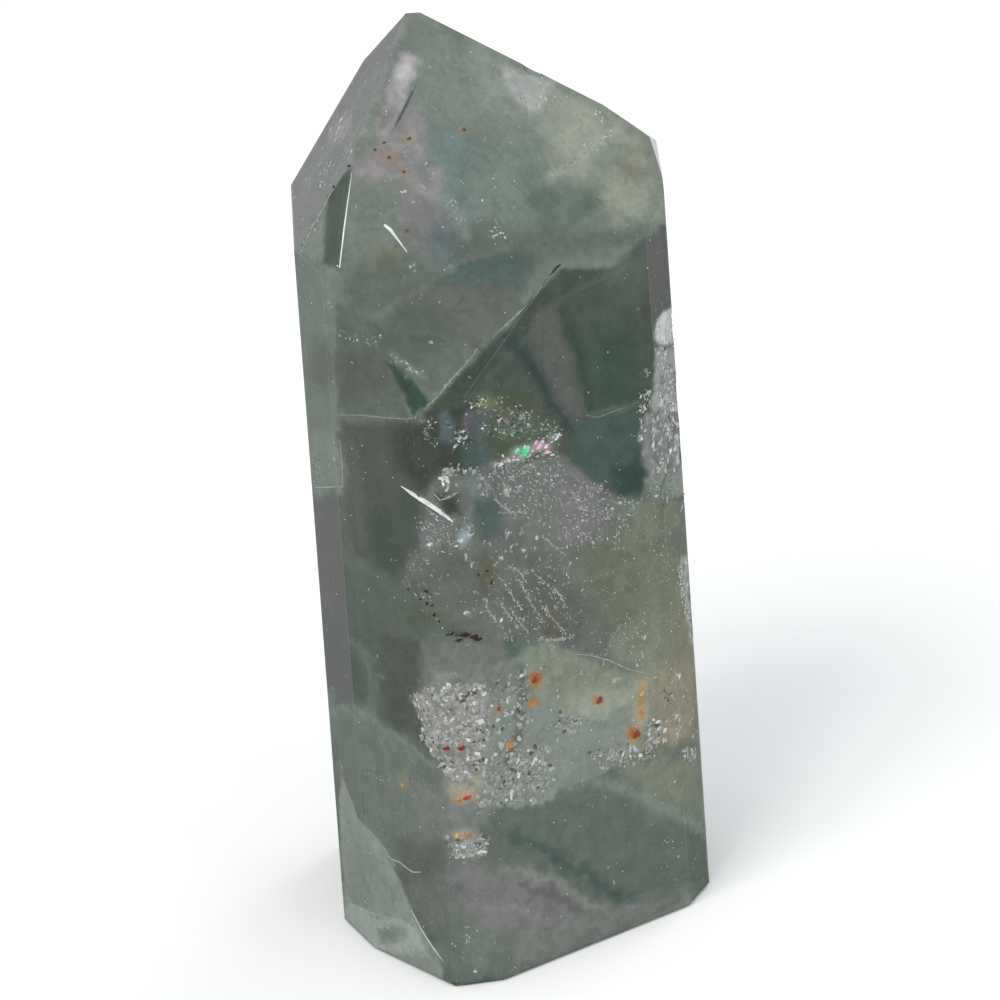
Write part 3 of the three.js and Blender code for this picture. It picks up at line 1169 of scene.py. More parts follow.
class Crystal:
    """The stone itself.

    start is how far under the skin the search for the far side begins, in millimetres, and deepest
    how far into the stone a bit may lie, as a share of the way through it.
    """

    start: float = 0.01
    deepest: float = 0.42
    frosting: float = 0.12

    def __init__(self, viewpoint: Viewpoint) -> None:
        """Cuts the skin and keeps it for placing what lies inside.

        Args:
            viewpoint: The scene's camera.
        """
        self.viewpoint = viewpoint
        self.skin = Cut().build(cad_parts[STONE_NODE].data, viewpoint.ahead)
        self.tree = BVHTree.FromBMesh(self.skin)
        self.mesh = bpy.data.meshes.new("crystal")
        self.skin.to_mesh(self.mesh)
        rows = len(self.mesh.vertices)
        points, normals = np.empty(rows * 3), np.empty(rows * 3)
        self.mesh.vertices.foreach_get("co", points)
        self.mesh.vertices.foreach_get("normal", normals)
        self.points, self.normals = points.reshape(-1, 3), normals.reshape(-1, 3)

    def enter(self, pixel: Pixel, depth: float, viewpoint: Viewpoint) -> tuple[Vector, Vector] | None:
        """Follows a line of sight into the stone, bent as light is at its surface.

        Args:
            pixel: The camera's pixel that it goes through.
            depth: How far below the surface it ends, in millimetres; 0 is on the surface.
            viewpoint: Where it starts.

        Returns:
            The point, and the direction in which the line arrives, or None beside the stone.
        """
        ray = viewpoint.ray(pixel)
        spot, normal, *_ = self.tree.ray_cast(viewpoint.eye, ray)
        if spot is None:
            return None
        ratio, facing = 1.0 / FLUORITE_IOR, -ray.dot(normal)
        bent = ray * ratio + normal * (ratio * facing - math.sqrt(1.0 - ratio**2 * (1.0 - facing**2)))
        bent.normalize()
        *_, chord = self.tree.ray_cast(spot + bent * (self.start * MM), bent)
        return spot + bent * min(depth * MM, self.deepest * (chord or 0.0)), bent

    def build(self) -> Piece:
        """Makes the stone's object.

        Returns:
            The object, dressed and declared.
        """
        mesh = self.mesh.copy()
        clouds = Clouds(self.points, self.normals, self.viewpoint)
        self._attribute(mesh, "cloud", clouds.cloud_colour(), clouds.haze)
        grain = np.column_stack((clouds.sugar, clouds.pits, clouds.sugar * 0))
        self._attribute(mesh, "grain", grain, clouds.haze)
        mesh.materials.append(PolishedFluorite().material("polished_fluorite"))
        broken = PolishedFluorite(roughness=0.3, cloud_roughness=0.5, frost=self.frosting)
        mesh.materials.append(broken.material("broken_fluorite"))
        crystal = declare(put("crystal", mesh))
        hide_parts(STONE_NODE)
        return crystal

    @staticmethod
    def _attribute(mesh: bpy.types.Mesh, name: str, colour: np.ndarray, alpha: np.ndarray) -> None:
        """Stores a colour and a share at each of the mesh's points."""
        layer = mesh.color_attributes.new(name, "FLOAT_COLOR", "POINT")
        layer.data.foreach_set("color", np.column_stack((colour, alpha)).ravel())


# -------- what lies in the stone

def albedo(
    look: Colour, lit: float = 1.35, gloss: float = 0.03, darkest: float = 0.004, brightest: float = 0.92
) -> Colour:
    """What a bit at the surface is coloured, so that it comes out in a look."""
    return tuple(float(n) for n in np.clip((linear(look) - gloss) / lit, darkest, brightest))


@dataclass(frozen=True)
class InclusionFinish:
    """Matt mineral under the stone's polish, in each bit's own tone."""

    roughness: float = 0.25
    uneven: float = 0.25
    grain: float = 1800.0

    def material(self, name: str) -> bpy.types.Material:
        """Makes the finish.

        Args:
            name: The material's name.

        Returns:
            The material.
        """
        graph = Graph(name)
        tone = graph.attribute("tone")
        darkest, brightest = 1.0 - self.uneven, 1.0 + self.uneven
        shade = graph.noise(self.grain, 4.0, graph.place(), 0.4).ramp(0.3, 0.7, darkest, brightest)
        grey = graph.node("ShaderNodeCombineColor", None, {"Red": shade, "Green": shade, "Blue": shade})
        colour = graph.mix(1.0, tone, grey, "MULTIPLY")
        alpha = graph.attribute("tone", "Alpha")
        shader = graph.principled(
            Base_Color=colour, Roughness=self.roughness, IOR=FLUORITE_IOR, Alpha=alpha
        )
        return graph.surface(shader)


@dataclass(frozen=True)
class Sheet:
    """A cloudy sheet in the stone.

    depth is how far below the surface it starts, in millimetres, sink how much deeper its foot lies
    than its top, step the spacing of its inner points, in pixels, and alpha how solid it is.
    """

    outline: tuple[Pixel, ...]
    look: Colour
    depth: float
    step: float = 14.0
    alpha: float = 1.0
    sink: float = 0.0


class Inclusions:
    """Closed bits of mineral that are gathered into one piece, each with its own tone.

    Lines, outlines and middles are pixels of the piece's viewpoint, and so are widths. A look is
    the screen colour that a bit comes out in. Depths below the surface and thicknesses are in
    millimetres, turns in degrees. A bit that would lie beside the stone is left out.
    """

    thick: float = 0.03
    sliver_step: float = 5.0
    rim_gap: float = 0.4
    buried: float = 0.7
    lump_flat: float = 0.12
    lump_rough: float = 0.3
    lump_scale: float = 1.7
    lump_shift: tuple[float, float] = (3.1, 1.7)
    shard_seed: tuple[float, float] = (7.0, 13.0)
    shard_sway: tuple[float, float] = (-0.25, 0.25)
    shard_reach: tuple[float, float] = (0.7, 1.15)
    bead_long: tuple[float, float] = (0.5, 1.7)
    bead_shine: tuple[float, float] = (0.72, 1.0)
    bead_short: tuple[float, float] = (0.3, 0.7)
    bead_turn: float = 30.0
    bead_corners: int = 5

    def __init__(self, name: str, crystal: Crystal) -> None:
        """Starts an empty piece, placed from the scene's camera until viewpoint is changed.

        Args:
            name: The piece's name.
            crystal: The stone that the bits lie in.
        """
        self.name, self.crystal = name, crystal
        self.viewpoint = crystal.viewpoint
        self.points: list[Vector] = []
        self.faces: list[list[int]] = []
        self.tones: list[tuple[float, ...]] = []

    def look_from(self, azimuth: float) -> None:
        """Places what follows from a camera at an azimuth, in degrees."""
        self.viewpoint = Viewpoint(azimuth=math.radians(azimuth))

    def add(
        self, points: Sequence[Vector], faces: Iterable[Sequence[int]], look: Colour, alpha: float = 1.0
    ) -> None:
        """Adds one closed bit.

        Args:
            points: Its points.
            faces: Its faces, by their numbers among the points.
            look: How it comes out.
            alpha: How solid it is.
        """
        self.faces += [[len(self.points) + i for i in face] for face in faces]
        self.points += points
        self.tones += [(*albedo(look), alpha)] * len(points)

    def sliver(self, line: Sequence[Pixel], widths: Sequence[float], look: Colour) -> None:
        """Adds a thin crack, blade or thread at the surface.

        Args:
            line: The pixels that it passes through.
            widths: Its width at each of them.
            look: How it comes out.
        """
        fine, broad = [line[0]], [widths[0]]
        for start, end, low, high in zip(line[:-1], line[1:], widths[:-1], widths[1:]):
            count = math.ceil(math.dist(start, end) / self.sliver_step)
            for share in (step / count for step in range(1, count + 1)):
                fine.append((start[0] + (end[0] - start[0]) * share, start[1] + (end[1] - start[1]) * share))
                broad.append(low + (high - low) * share)
        entered = (self.crystal.enter(pixel, 0.0, self.viewpoint) for pixel in fine)
        placed = [(*found, width) for found, width in zip(entered, broad) if found]
        if len(placed) < 2:
            return
        points = []
        last = len(placed) - 1
        for i, (spot, ahead, width) in enumerate(placed):
            before, after = placed[max(i - 1, 0)][0], placed[min(i + 1, last)][0]
            side = (after - before).cross(ahead).normalized() * (width * self.viewpoint.pixel_size / 2)
            lift = ahead * (self.thick * MM / 2)
            points += [spot + side, spot - lift, spot - side, spot + lift]
        faces = [
            [4 * i + j, 4 * i + (j + 1) % 4, 4 * i + 4 + (j + 1) % 4, 4 * i + 4 + j]
            for i in range(last) for j in range(4)
        ]
        self.add(points, [*faces, [3, 2, 1, 0], [4 * last + j for j in range(4)]], look)

    def plate(self, sheet: Sheet, thick: float) -> None:
        """Adds a thin plate that fills an outline and follows the surface at a depth.

        Args:
            sheet: Its outline and how it lies.
            thick: Its thickness.
        """
        rim = np.array(sheet.outline, float)
        low, high = rim.min(0), rim.max(0)
        columns, rows = (np.arange(a, b, sheet.step) for a, b in zip(low, high))
        grid = np.array([(x, y) for x in columns for y in rows])
        grid = grid[outline_distance(grid, rim) < -self.rim_gap * sheet.step]
        flat = [Vector(p) for p in (*rim, *grid)]
        placed, _, corners, *_ = delaunay_2d_cdt(flat, [], [list(range(len(rim)))], 1, 1e-6)
        front, back = [], []
        for spot in placed:
            deep = sheet.depth + sheet.sink * (spot.y - low[1]) / max(high[1] - low[1], 1.0)
            found = self.crystal.enter(tuple(spot), deep, self.viewpoint)
            if not found:
                return
            front.append(found[0] - found[1] * (thick * MM * (1.0 - self.buried)))
            back.append(found[0] + found[1] * (thick * MM * self.buried))
        count = len(placed)
        edges: dict[tuple[int, int], None] = {}
        for corner in corners:
            for a, b in zip(corner, [*corner[1:], corner[0]]):
                if (b, a) in edges:
                    del edges[b, a]
                else:
                    edges[a, b] = None
        walls = [[a, b, count + b, count + a] for a, b in edges]
        lids = [*corners, *([count + i for i in reversed(c)] for c in corners)]
        self.add([*front, *back], [*lids, *walls], sheet.look, sheet.alpha)

    def lump(
        self, x: float, y: float, half: float, other_half: float, turn: float, look: Colour,
        depth: float = 0.0, seed: int = 1,
    ) -> None:
        """Adds an uneven, flattened grain.

        Args:
            x: Its middle's pixel across.
            y: Its middle's pixel down.
            half: Its half-width.
            other_half: Its half-width the other way.
            turn: How far it is turned.
            look: How it comes out.
            depth: How far below the surface its middle lies.
            seed: Picks its unevenness.
        """
        found = self.crystal.enter((x, y), depth, self.viewpoint)
        if not found:
            return
        spot, ahead = found
        across = self.viewpoint.slope(math.cos(math.radians(turn)), -math.sin(math.radians(turn)))
        across = (across - ahead * across.dot(ahead)).normalized()
        along = ahead.cross(across)
        thick = min(half, other_half) * self.lump_flat
        ball = bmesh.new()
        bmesh.ops.create_icosphere(ball, subdivisions=2, radius=1.0)
        points = []
        for vert in ball.verts:
            shift = Vector((seed * self.lump_shift[0], seed * self.lump_shift[1], 0.5))
            swell = 1.0 + self.lump_rough * noise.noise(vert.co * self.lump_scale + shift)
            right, down, deep = vert.co * swell
            away = across * (right * half) + along * (down * other_half) + ahead * (deep * thick)
            points.append(spot + away * self.viewpoint.pixel_size)
        self.add(points, [[v.index for v in f.verts] for f in ball.faces], look)
        ball.free()

    def shard(
        self, x: float, y: float, half: float, other_half: float, turn: float, look: Colour, corners: int = 6
    ) -> None:
        """Adds a flat shard with uneven corners on the surface.

        Args:
            x: Its middle's pixel across.
            y: Its middle's pixel down.
            half: Its half-width.
            other_half: Its half-width the other way.
            turn: How far it is turned.
            look: How it comes out.
            corners: How many corners it has.
        """
        found = self.crystal.enter((x, y), 0.0, self.viewpoint)
        if not found:
            return
        spot, ahead = found
        draw = random.Random(x * self.shard_seed[0] + y * self.shard_seed[1])
        cos, sin = math.cos(math.radians(turn)), math.sin(math.radians(turn))
        rings: list[list[Vector]] = [[], []]
        size = self.viewpoint.pixel_size
        for i in range(corners):
            angle = math.tau * (i + draw.uniform(*self.shard_sway)) / corners
            right = half * draw.uniform(*self.shard_reach) * size * math.cos(angle)
            down = other_half * draw.uniform(*self.shard_reach) * size * math.sin(angle)
            flat = self.viewpoint.slope(right * cos + down * sin, down * cos - right * sin)
            flat = flat - ahead * flat.dot(ahead)
            for ring, side in zip(rings, (-0.5, 0.5)):
                ring.append(spot + flat + ahead * (self.thick * MM * side))
        walls = [[i, corners + i, corners + (i + 1) % corners, (i + 1) % corners] for i in range(corners)]
        lids = [list(range(corners)), [corners + i for i in reversed(range(corners))]]
        self.add([*rings[0], *rings[1]], [*lids, *walls], look)

    def beads(
        self, line: Sequence[Pixel], wide: float, look: Colour, crowd: float, size: float = 1.2,
        seed: int = 1,
    ) -> None:
        """Strews small shards along a line, as where a crack sparkles.

        Args:
            line: The pixels that it passes through.
            wide: How far the shards stray to either side.
            look: How the brightest ones come out.
            crowd: How many lie on a pixel of the line.
            size: Half the length of a middling shard.
            seed: Picks the pattern.
        """
        draw = random.Random(seed)
        for start, end in zip(line[:-1], line[1:]):
            along = Vector(end) - Vector(start)
            heading = math.degrees(math.atan2(along.y, along.x))
            for _ in range(max(1, round(along.length * crowd))):
                spot = Vector(start) + along * draw.random()
                spot += Vector((along.y, -along.x)).normalized() * draw.gauss(0.0, wide / 2)
                long = size * draw.uniform(*self.bead_long)
                shine = draw.uniform(*self.bead_shine)
                short = long * draw.uniform(*self.bead_short)
                turn = heading + draw.gauss(0.0, self.bead_turn)
                tone = tuple(n * shine for n in look)
                self.shard(*spot, long, short, turn, tone, corners=self.bead_corners)

    def build(self, finish: InclusionFinish) -> Piece:
        """Makes the piece of what was added.

        Args:
            finish: What it is dressed in.

        Returns:
            The piece, declared.
        """
        mesh = bpy.data.meshes.new(self.name)
        mesh.from_pydata(self.points, [], self.faces)
        layer = mesh.color_attributes.new("tone", "FLOAT_COLOR", "POINT")
        layer.data.foreach_set("color", np.array(self.tones).ravel())
        turned = bmesh.new()
        turned.from_mesh(mesh)
        bmesh.ops.recalc_face_normals(turned, faces=turned.faces)
        turned.to_mesh(mesh)
        turned.free()
        mesh.materials.append(finish.material(self.name))
        return declare(put(self.name, mesh))


@dataclass
class HandPlaced:
    """A piece whose bits are placed one by one."""

    name: str = ""
    finish: InclusionFinish = InclusionFinish()

    def lay(self, bits: Inclusions) -> None:
        """Adds the piece's bits."""
        raise NotImplementedError

    def build(self, crystal: Crystal) -> list[Piece]:
        """Makes the piece.

        Args:
            crystal: The stone that the bits lie in.

        Returns:
            The piece.
        """
        bits = Inclusions(self.name, crystal)
        self.lay(bits)
        return [bits.build(self.finish)]


# Cloudy cleavage sheets inside the stone, from the tip down.
SHEETS = (
    Sheet(((336, 140), (372, 78), (412, 34), (470, 52), (560, 100), (640, 150), (650, 215), (604, 252),
           (552, 268), (520, 300), (466, 352), (424, 396), (386, 340), (350, 270)), (158, 162, 154), 2.6,
          sink=1.5),
    Sheet(((452, 60), (560, 112), (642, 160), (640, 226), (560, 240), (500, 190)), (176, 178, 168), 1.2,
          alpha=0.6),
    Sheet(((330, 300), (350, 310), (400, 410), (404, 560), (396, 720), (352, 760), (322, 520)),
          (126, 132, 126), 3.2, step=16),
    Sheet(((430, 430), (520, 350), (560, 300), (650, 262), (656, 420), (640, 500), (560, 500), (470, 520)),
          (110, 122, 114), 5, step=16),
    Sheet(((545, 292), (566, 310), (590, 400), (576, 430), (552, 400), (520, 330)), (150, 152, 150), 2.6,
          step=12),
    Sheet(((424, 540), (520, 500), (640, 520), (676, 600), (672, 700), (560, 660), (440, 640)),
          (140, 146, 134), 3.4, step=16),
    Sheet(((424, 660), (560, 650), (676, 690), (690, 760), (600, 790), (540, 830), (440, 840)),
          (150, 152, 142), 2.2, sink=1),
    Sheet(((462, 850), (560, 800), (690, 760), (702, 886), (600, 936), (520, 966), (462, 974)),
          (136, 140, 132), 1.8, sink=0.6),
    Sheet(((352, 790), (420, 780), (446, 850), (448, 966), (376, 944), (352, 920)), (132, 138, 130), 1.6),
)


@dataclass
class DeepClouds(HandPlaced):
    """Cloudy cleavage sheets that stand inside the stone and catch its light."""

    name: str = "deep_clouds"
    thick: float = 0.25
    finish: InclusionFinish = InclusionFinish(roughness=0.4, uneven=0.45, grain=500.0)

    def lay(self, bits: Inclusions) -> None:
        """Adds the sheets."""
        for sheet in SHEETS:
            bits.plate(sheet, self.thick)


WHITE, PALE = (222, 226, 222), (176, 180, 174)
# Needles, blades, seams and painted edge highlights of the front: their lines, their widths there and their
# looks.
SLIVERS = (
    # the white needle and short streak along ridges from the crown's point, painted glints on those ridges,
    # and a dark blade
    (((352, 172), (348, 200), (344, 230), (339.5, 268)), (0.4, 1, 1.6, 1), WHITE),
    (((384, 225), (390, 230), (398, 240), (407, 252)), (3, 4.4, 2, 0.8), WHITE),
    (((417, 80), (410, 98), (400, 118), (389, 137)), (1.2, 3.6, 3.2, 1), (92, 96, 98)),
    # the bright blade at the veil's left corner
    (((401, 486), (412, 492), (428, 502), (441, 511), (453, 522)), (1, 6.5, 7.5, 6.5, 1), WHITE),
    (((404, 490), (420, 501), (438, 514)), (0.5, 1.6, 0.5), (52, 56, 52)),
    # pale seams
    (((342, 778), (352, 802), (357, 818), (371, 833), (384, 847), (395, 866)),
     (0.8, 1.2, 1.2, 1.2, 1.2, 1.2), SAGE(156)),
    (((411, 909), (422, 930), (433, 947), (443, 961)), (0.8, 1.6, 2.2, 0.8), (200, 206, 200)),
    (((349, 903), (360, 908), (374, 914), (388, 917), (400, 920), (417, 930)), (1, 1.4, 1.4, 1.4, 1.4, 1),
     SAGE(166)),
    (((386, 855), (392, 859), (400, 862), (407, 868), (413, 872), (421, 872)), (0.8, 1.6, 1.6, 1.6, 1.6, 1),
     PALE),
    # pale lines along the shoulder, the narrow left facet and the crown's edge: painted edge highlights
    (((340, 415), (360, 415), (380, 417), (404, 419), (416, 418)), (0.6, 1, 1.1, 1, 0.8), SAGE(150)),
    (((423, 411), (438, 396), (451, 380), (464, 366), (478, 350)), (0.6, 1, 1.2, 1, 0.6), SAGE(138)),
    (((492, 338), (506, 325), (518, 314), (528, 304)), (0.6, 1.2, 1.4, 0.6), SAGE(138)),
    (((586, 415), (597, 417.5), (612, 412), (625, 407)), (0.6, 1, 1, 0.6), SAGE(134)),
    (((301, 252), (313, 226), (326, 204), (334, 186)), (0.6, 1.2, 1.2, 0.8), SAGE(172)),
    (((301, 487.5), (320, 487.5), (343, 486.5)), (0.6, 1, 1), SAGE(160)),
    (((343, 486), (342, 462), (340, 440)), (1, 1.2, 0.6), SAGE(164)),
    # the dark nick on the shoulder and the crack that leads to it
    (((546, 280), (551, 274), (556, 268), (561, 264)), (0.8, 1.8, 2.8, 1.2), (56, 64, 58)),
    (((526, 306), (536, 294), (546, 281)), (0.4, 1.2, 1.4), (64, 72, 66)),
)
# Cracks on the sides that the front hides, by the azimuth of the camera that they are placed from.
HIDDEN_CRACKS = {
    90: (((540, 250), (580, 330), (592, 420)), ((510, 560), (570, 590), (660, 570)),
         ((660, 700), (620, 760), (540, 800)), ((520, 330), (540, 380), (546, 440))),
    180: (((380, 300), (430, 340), (520, 350)), ((450, 620), (540, 600), (640, 660)),
          ((380, 700), (420, 780), (500, 830)), ((560, 420), (600, 480), (610, 560))),
    270: (((330, 330), (380, 400), (400, 500)), ((340, 700), (420, 680), (500, 720)),
          ((360, 620), (400, 680), (420, 760)), ((400, 360), (440, 420), (500, 440))),
}
# Two blades on each hidden side, by how far they lie from the start of its first crack.
HIDDEN_BLADES = (
    (((60, 90), (66, 112), (78, 136)), (1, 3, 0.8)), (((30, 260), (60, 276), (84, 300)), (1, 3.6, 0.8)),
)


@dataclass
class CracksAndEdgeGlints(HandPlaced):
    """Needles, blades, rims and hair-thin scratches where cleavage cracks reach the polish, and pale lines
    that paint highlights on edges and ridges.
    """

    name: str = "cracks_and_edge_glints"
    hidden_look: Colour = SAGE(142)
    hidden_widths: tuple[float, ...] = (0.5, 1.6, 0.5)
    crumbs: Colour = (196, 200, 196)
    crumb_spread: float = 7.0
    crumb_size: float = 1.3
    crowd: float = 0.22
    finish: InclusionFinish = InclusionFinish(roughness=0.12, uneven=0.12)

    def lay(self, bits: Inclusions) -> None:
        """Adds the cracks of the front and of the hidden sides.

        Args:
            bits: The piece that they go to.
        """
        for line, widths, look in SLIVERS:
            bits.sliver(line, widths, look)
        for azimuth, lines in HIDDEN_CRACKS.items():
            bits.look_from(azimuth)
            self._hidden(bits, azimuth, lines)

    def _hidden(self, bits: Inclusions, azimuth: int, lines: Sequence[Sequence[Pixel]]) -> None:
        """Adds the healed cracks, crumbs and blades of one hidden side.

        Args:
            bits: The piece that they go to.
            azimuth: The side's azimuth, in degrees.
            lines: Its cracks.
        """
        for seed, line in enumerate(lines):
            bits.sliver(line, self.hidden_widths, self.hidden_look)
            bits.beads(
                line, self.crumb_spread, self.crumbs, self.crowd, self.crumb_size, seed=azimuth + seed
            )
        (x, y), *_ = lines[0]
        for blade, widths in HIDDEN_BLADES:
            bits.sliver([(x + across, y + down) for across, down in blade], widths, WHITE)


CORE, RED, ORANGE, YELLOW = (122, 56, 14), (166, 76, 24), (182, 120, 62), (196, 160, 92)
BROWN, BLACK, ASH = (98, 80, 58), (48, 44, 36), (64, 62, 60)
# Rust specks of the front: middle, half-widths, turn in degrees and look.
RUST_SPECKS = (
    (535, 678, 5.6, 4.4, -20, RED), (534, 679, 3.8, 3, -20, CORE), (533, 703, 3, 3.2, 0, ORANGE),
    (498, 708, 2.8, 2.4, 0, BROWN), (510, 745, 4, 3.4, 20, ORANGE), (446, 747, 4.2, 3.6, 0, CORE),
    (461, 747, 4.4, 4, 0, CORE), (598, 700, 5.4, 3.6, -25, CORE), (641, 693, 3.6, 3.2, 0, YELLOW),
    (640, 712, 3.6, 3, 0, ORANGE), (635, 734, 5.6, 4.6, -10, CORE), (467, 797, 5.2, 3, -25, RED),
    (459, 800, 3, 2.2, 0, ORANGE), (456, 835, 3.2, 3.6, 0, YELLOW), (463, 834, 2.4, 3.4, 0, ORANGE),
    (469, 835, 3.4, 3.4, 0, ORANGE), (403, 785, 2.6, 2.2, 0, YELLOW), (464, 130, 2.2, 2, 0, BROWN),
    (409, 139, 3, 2, -30, BROWN), (389, 158, 2, 2.4, 0, BROWN), (404, 172, 2, 2, 0, BROWN),
    (407, 231, 1.8, 1.8, 0, BROWN), (334, 187, 1.8, 1.5, 0, BLACK), (349, 166, 1.9, 1.5, 0, BLACK),
    (384, 143, 2.3, 1.3, -30, ASH), (375, 150, 1.8, 1.6, 0, ASH),
)
RAISED_SPECK = RUST_SPECKS[1]
HIDDEN_SPECKS = {
    90: ((560, 640), (576, 652), (620, 500)), 180: ((520, 590), (440, 420)),
    270: ((400, 560), (416, 548), (460, 780)),
}


@dataclass
class RustSpots(HandPlaced):
    """Iron stains: dark red cores, whose orange and yellow halos are in the stone's clouds."""

    name: str = "rust_spots"
    raised: float = 0.02
    hidden_halves: Pixel = (3.6, 2.8)
    hidden_turn: float = 20.0
    first_seed: int = 3
    finish: InclusionFinish = InclusionFinish(roughness=0.4, uneven=0.3, grain=2600.0)

    def lay(self, bits: Inclusions) -> None:
        """Adds the cores of the front and of the hidden sides.

        Args:
            bits: The piece that they go to.
        """
        for seed, speck in enumerate(RUST_SPECKS):
            bits.lump(*speck, depth=-self.raised if speck is RAISED_SPECK else 0.0, seed=seed)
        for azimuth, middles in HIDDEN_SPECKS.items():
            bits.look_from(azimuth)
            for count, middle in enumerate(middles):
                turn = self.hidden_turn * count
                bits.lump(*middle, *self.hidden_halves, turn, RED, seed=self.first_seed + count)


# -------- chips strewn by Geometry Nodes

@dataclass(frozen=True)
class Place:
    """Where chips lie: an outline in the pixels of a camera that stands at some azimuth."""

    outline: tuple[Pixel, ...]
    amount: float = 1.0
    soft: float = 5.0
    azimuth: float = 0.0


@dataclass(frozen=True)
class Chips:
    """Flat, angular chips strewn over the surface. Lengths are in millimetres, angles in radians.

    crowd is how many lie on a square millimetre where a place is full, gap the least distance
    between two, long a chip's length over its width, uneven how much that varies, lean how far it
    tilts and spread how far it turns away from heading, the direction in which long chips lie.
    tones holds screen colours, each with the share of chips at which it starts.
    """

    crowd: float
    small: float
    large: float
    tones: tuple[tuple[float, Colour], ...]
    gap: float = 0.0
    long: float = 1.0
    uneven: float = 0.3
    thick: float = 0.04
    lean: float = 0.1
    spread: float = math.pi
    heading: tuple[float, float, float] = (1.0, 0.0, 0.0)
    corners: int = 5
    seed: int = 1
    finish: InclusionFinish = InclusionFinish(roughness=0.22, uneven=0.15, grain=3000.0)

    def build(self, name: str, crystal: Crystal, places: Sequence[Place]) -> Piece:
        """Args:
            name: The piece's name.
            crystal: The stone that they lie on.
            places: Where they lie, of which the last one that covers a point counts.

        Returns:
            The piece, baked to plain mesh.
        """
        ground = crystal.mesh.copy()
        amount = self._amount(crystal, places)
        ground.attributes.new("amount", "FLOAT", "POINT").data.foreach_set("value", amount)
        piece = put(name, ground)
        modifier = piece.modifiers.new("chips", "NODES")
        modifier.node_group = self._tree(name, self.finish.material(name))
        sizes = self._sizes()
        for item in modifier.node_group.interface.items_tree:
            if item.in_out == "INPUT" and item.name in sizes:
                modifier[item.identifier] = sizes[item.name]
        evaluated = piece.evaluated_get(bpy.context.evaluated_depsgraph_get())
        mesh = bpy.data.meshes.new_from_object(evaluated)
        piece.modifiers.clear()
        piece.data = mesh
        mesh.name = name
        return declare(piece)

    @staticmethod
    def _amount(crystal: Crystal, places: Sequence[Place]) -> np.ndarray:
        """Spreads the places' amounts over the skin; hidden places end where the front begins.

        Args:
            crystal: The stone.
            places: Where chips lie.

        Returns:
            How full each of the skin's points is.
        """
        amount = np.zeros(len(crystal.points))
        for place in places:
            viewpoint = Viewpoint(azimuth=place.azimuth)
            gap = outline_distance(viewpoint.pixels(crystal.points), np.array(place.outline, float))
            cover = np.clip(0.5 - gap / (2.0 * place.soft), 0.0, 1.0) * viewpoint.facing(crystal.normals)
            if place.azimuth:
                cover *= 1.0 - crystal.viewpoint.facing(crystal.normals)
            amount += (place.amount - amount) * cover
        return amount

    def _sizes(self) -> dict[str, float]:
        """Turns the sizes into metres.

        Returns:
            The tree's inputs by name.
        """
        return {
            "Crowd": self.crowd / MM**2, "Gap": self.gap * MM, "Small": self.small * MM,
            "Large": self.large * MM, "Long": self.long, "Thickness": self.thick * MM,
            "Lean": self.lean, "Spread": self.spread,
        }

    def _tree(self, name: str, material: bpy.types.Material) -> bpy.types.NodeTree:
        """Writes the Geometry Nodes tree that strews them.

        Args:
            name: The tree's name.
            material: What the chips are dressed in.

        Returns:
            The tree, whose inputs are named as the sizes are.
        """
        group = bpy.data.node_groups.new(name, "GeometryNodeTree")
        group.interface.new_socket("Geometry", in_out="INPUT", socket_type="NodeSocketGeometry")
        for key in self._sizes():
            group.interface.new_socket(key, in_out="INPUT", socket_type="NodeSocketFloat")
        group.interface.new_socket("Geometry", in_out="OUTPUT", socket_type="NodeSocketGeometry")
        tree = Tree(group)
        source = group.nodes.new("NodeGroupInput")
        size = {socket.name: Wire(tree, socket) for socket in source.outputs if socket.name}
        amount = tree.node(
            "GeometryNodeInputNamedAttribute", {"data_type": "FLOAT"}, {"Name": "amount"}, "Attribute"
        )
        points = tree.node(
            "GeometryNodeDistributePointsOnFaces", {"distribute_method": "POISSON"},
            {"Mesh": size["Geometry"], "Distance Min": size["Gap"], "Density Max": size["Crowd"],
             "Density Factor": amount, "Seed": self.seed}, "Points",
        )
        turn = tree.node(
            "FunctionNodeAlignRotationToVector", {"axis": "X", "pivot_axis": "Z"},
            {"Rotation": Wire(tree, points.socket.node.outputs["Rotation"]), "Vector": self.heading},
        )
        tip = tree.node("ShaderNodeCombineXYZ", None, {
            axis: self._draw(tree, seed) * size[limit]
            for axis, seed, limit in (("X", 11, "Lean"), ("Y", 12, "Lean"), ("Z", 13, "Spread"))
        })
        tip = tree.node("FunctionNodeEulerToRotation", None, {"Euler": tip})
        turn = tree.node(
            "FunctionNodeRotateRotation", {"rotation_space": "LOCAL"}, {"Rotation": turn, "Rotate By": tip}
        )
        pick = self._draw(tree, 14).math("ABSOLUTE")
        width = size["Small"] + (size["Large"] - size["Small"]) * pick * pick
        length = width * size["Long"] * (self._draw(tree, 15) * self.uneven + 1.0)
        scale = tree.node(
            "ShaderNodeCombineXYZ", None, {"X": length, "Y": width, "Z": size["Thickness"]}
        )
        prism = {"Vertices": self.corners, "Radius": 0.5, "Depth": 1.0}
        chip = tree.node("GeometryNodeMeshCylinder", None, prism)
        chips = tree.node(
            "GeometryNodeInstanceOnPoints", None,
            {"Points": points, "Instance": chip, "Rotation": turn, "Scale": scale},
        )
        stops = [(start, albedo(look)) for start, look in self.tones]
        tone = tree.node("ShaderNodeValToRGB", {"stops": stops}, {0: self._draw(tree, 16) * 0.5 + 0.5})
        tone.socket.node.color_ramp.interpolation = "CONSTANT"
        chips = tree.node(
            "GeometryNodeStoreNamedAttribute", {"data_type": "FLOAT_COLOR", "domain": "INSTANCE"},
            {"Geometry": chips, "Name": "tone", "Value": tone},
        )
        chips = tree.node("GeometryNodeRealizeInstances", None, {"Geometry": chips})
        chips = tree.node("GeometryNodeSetMaterial", None, {"Geometry": chips, "Material": material})
        group.links.new(chips.socket, group.nodes.new("NodeGroupOutput").inputs["Geometry"])
        return group

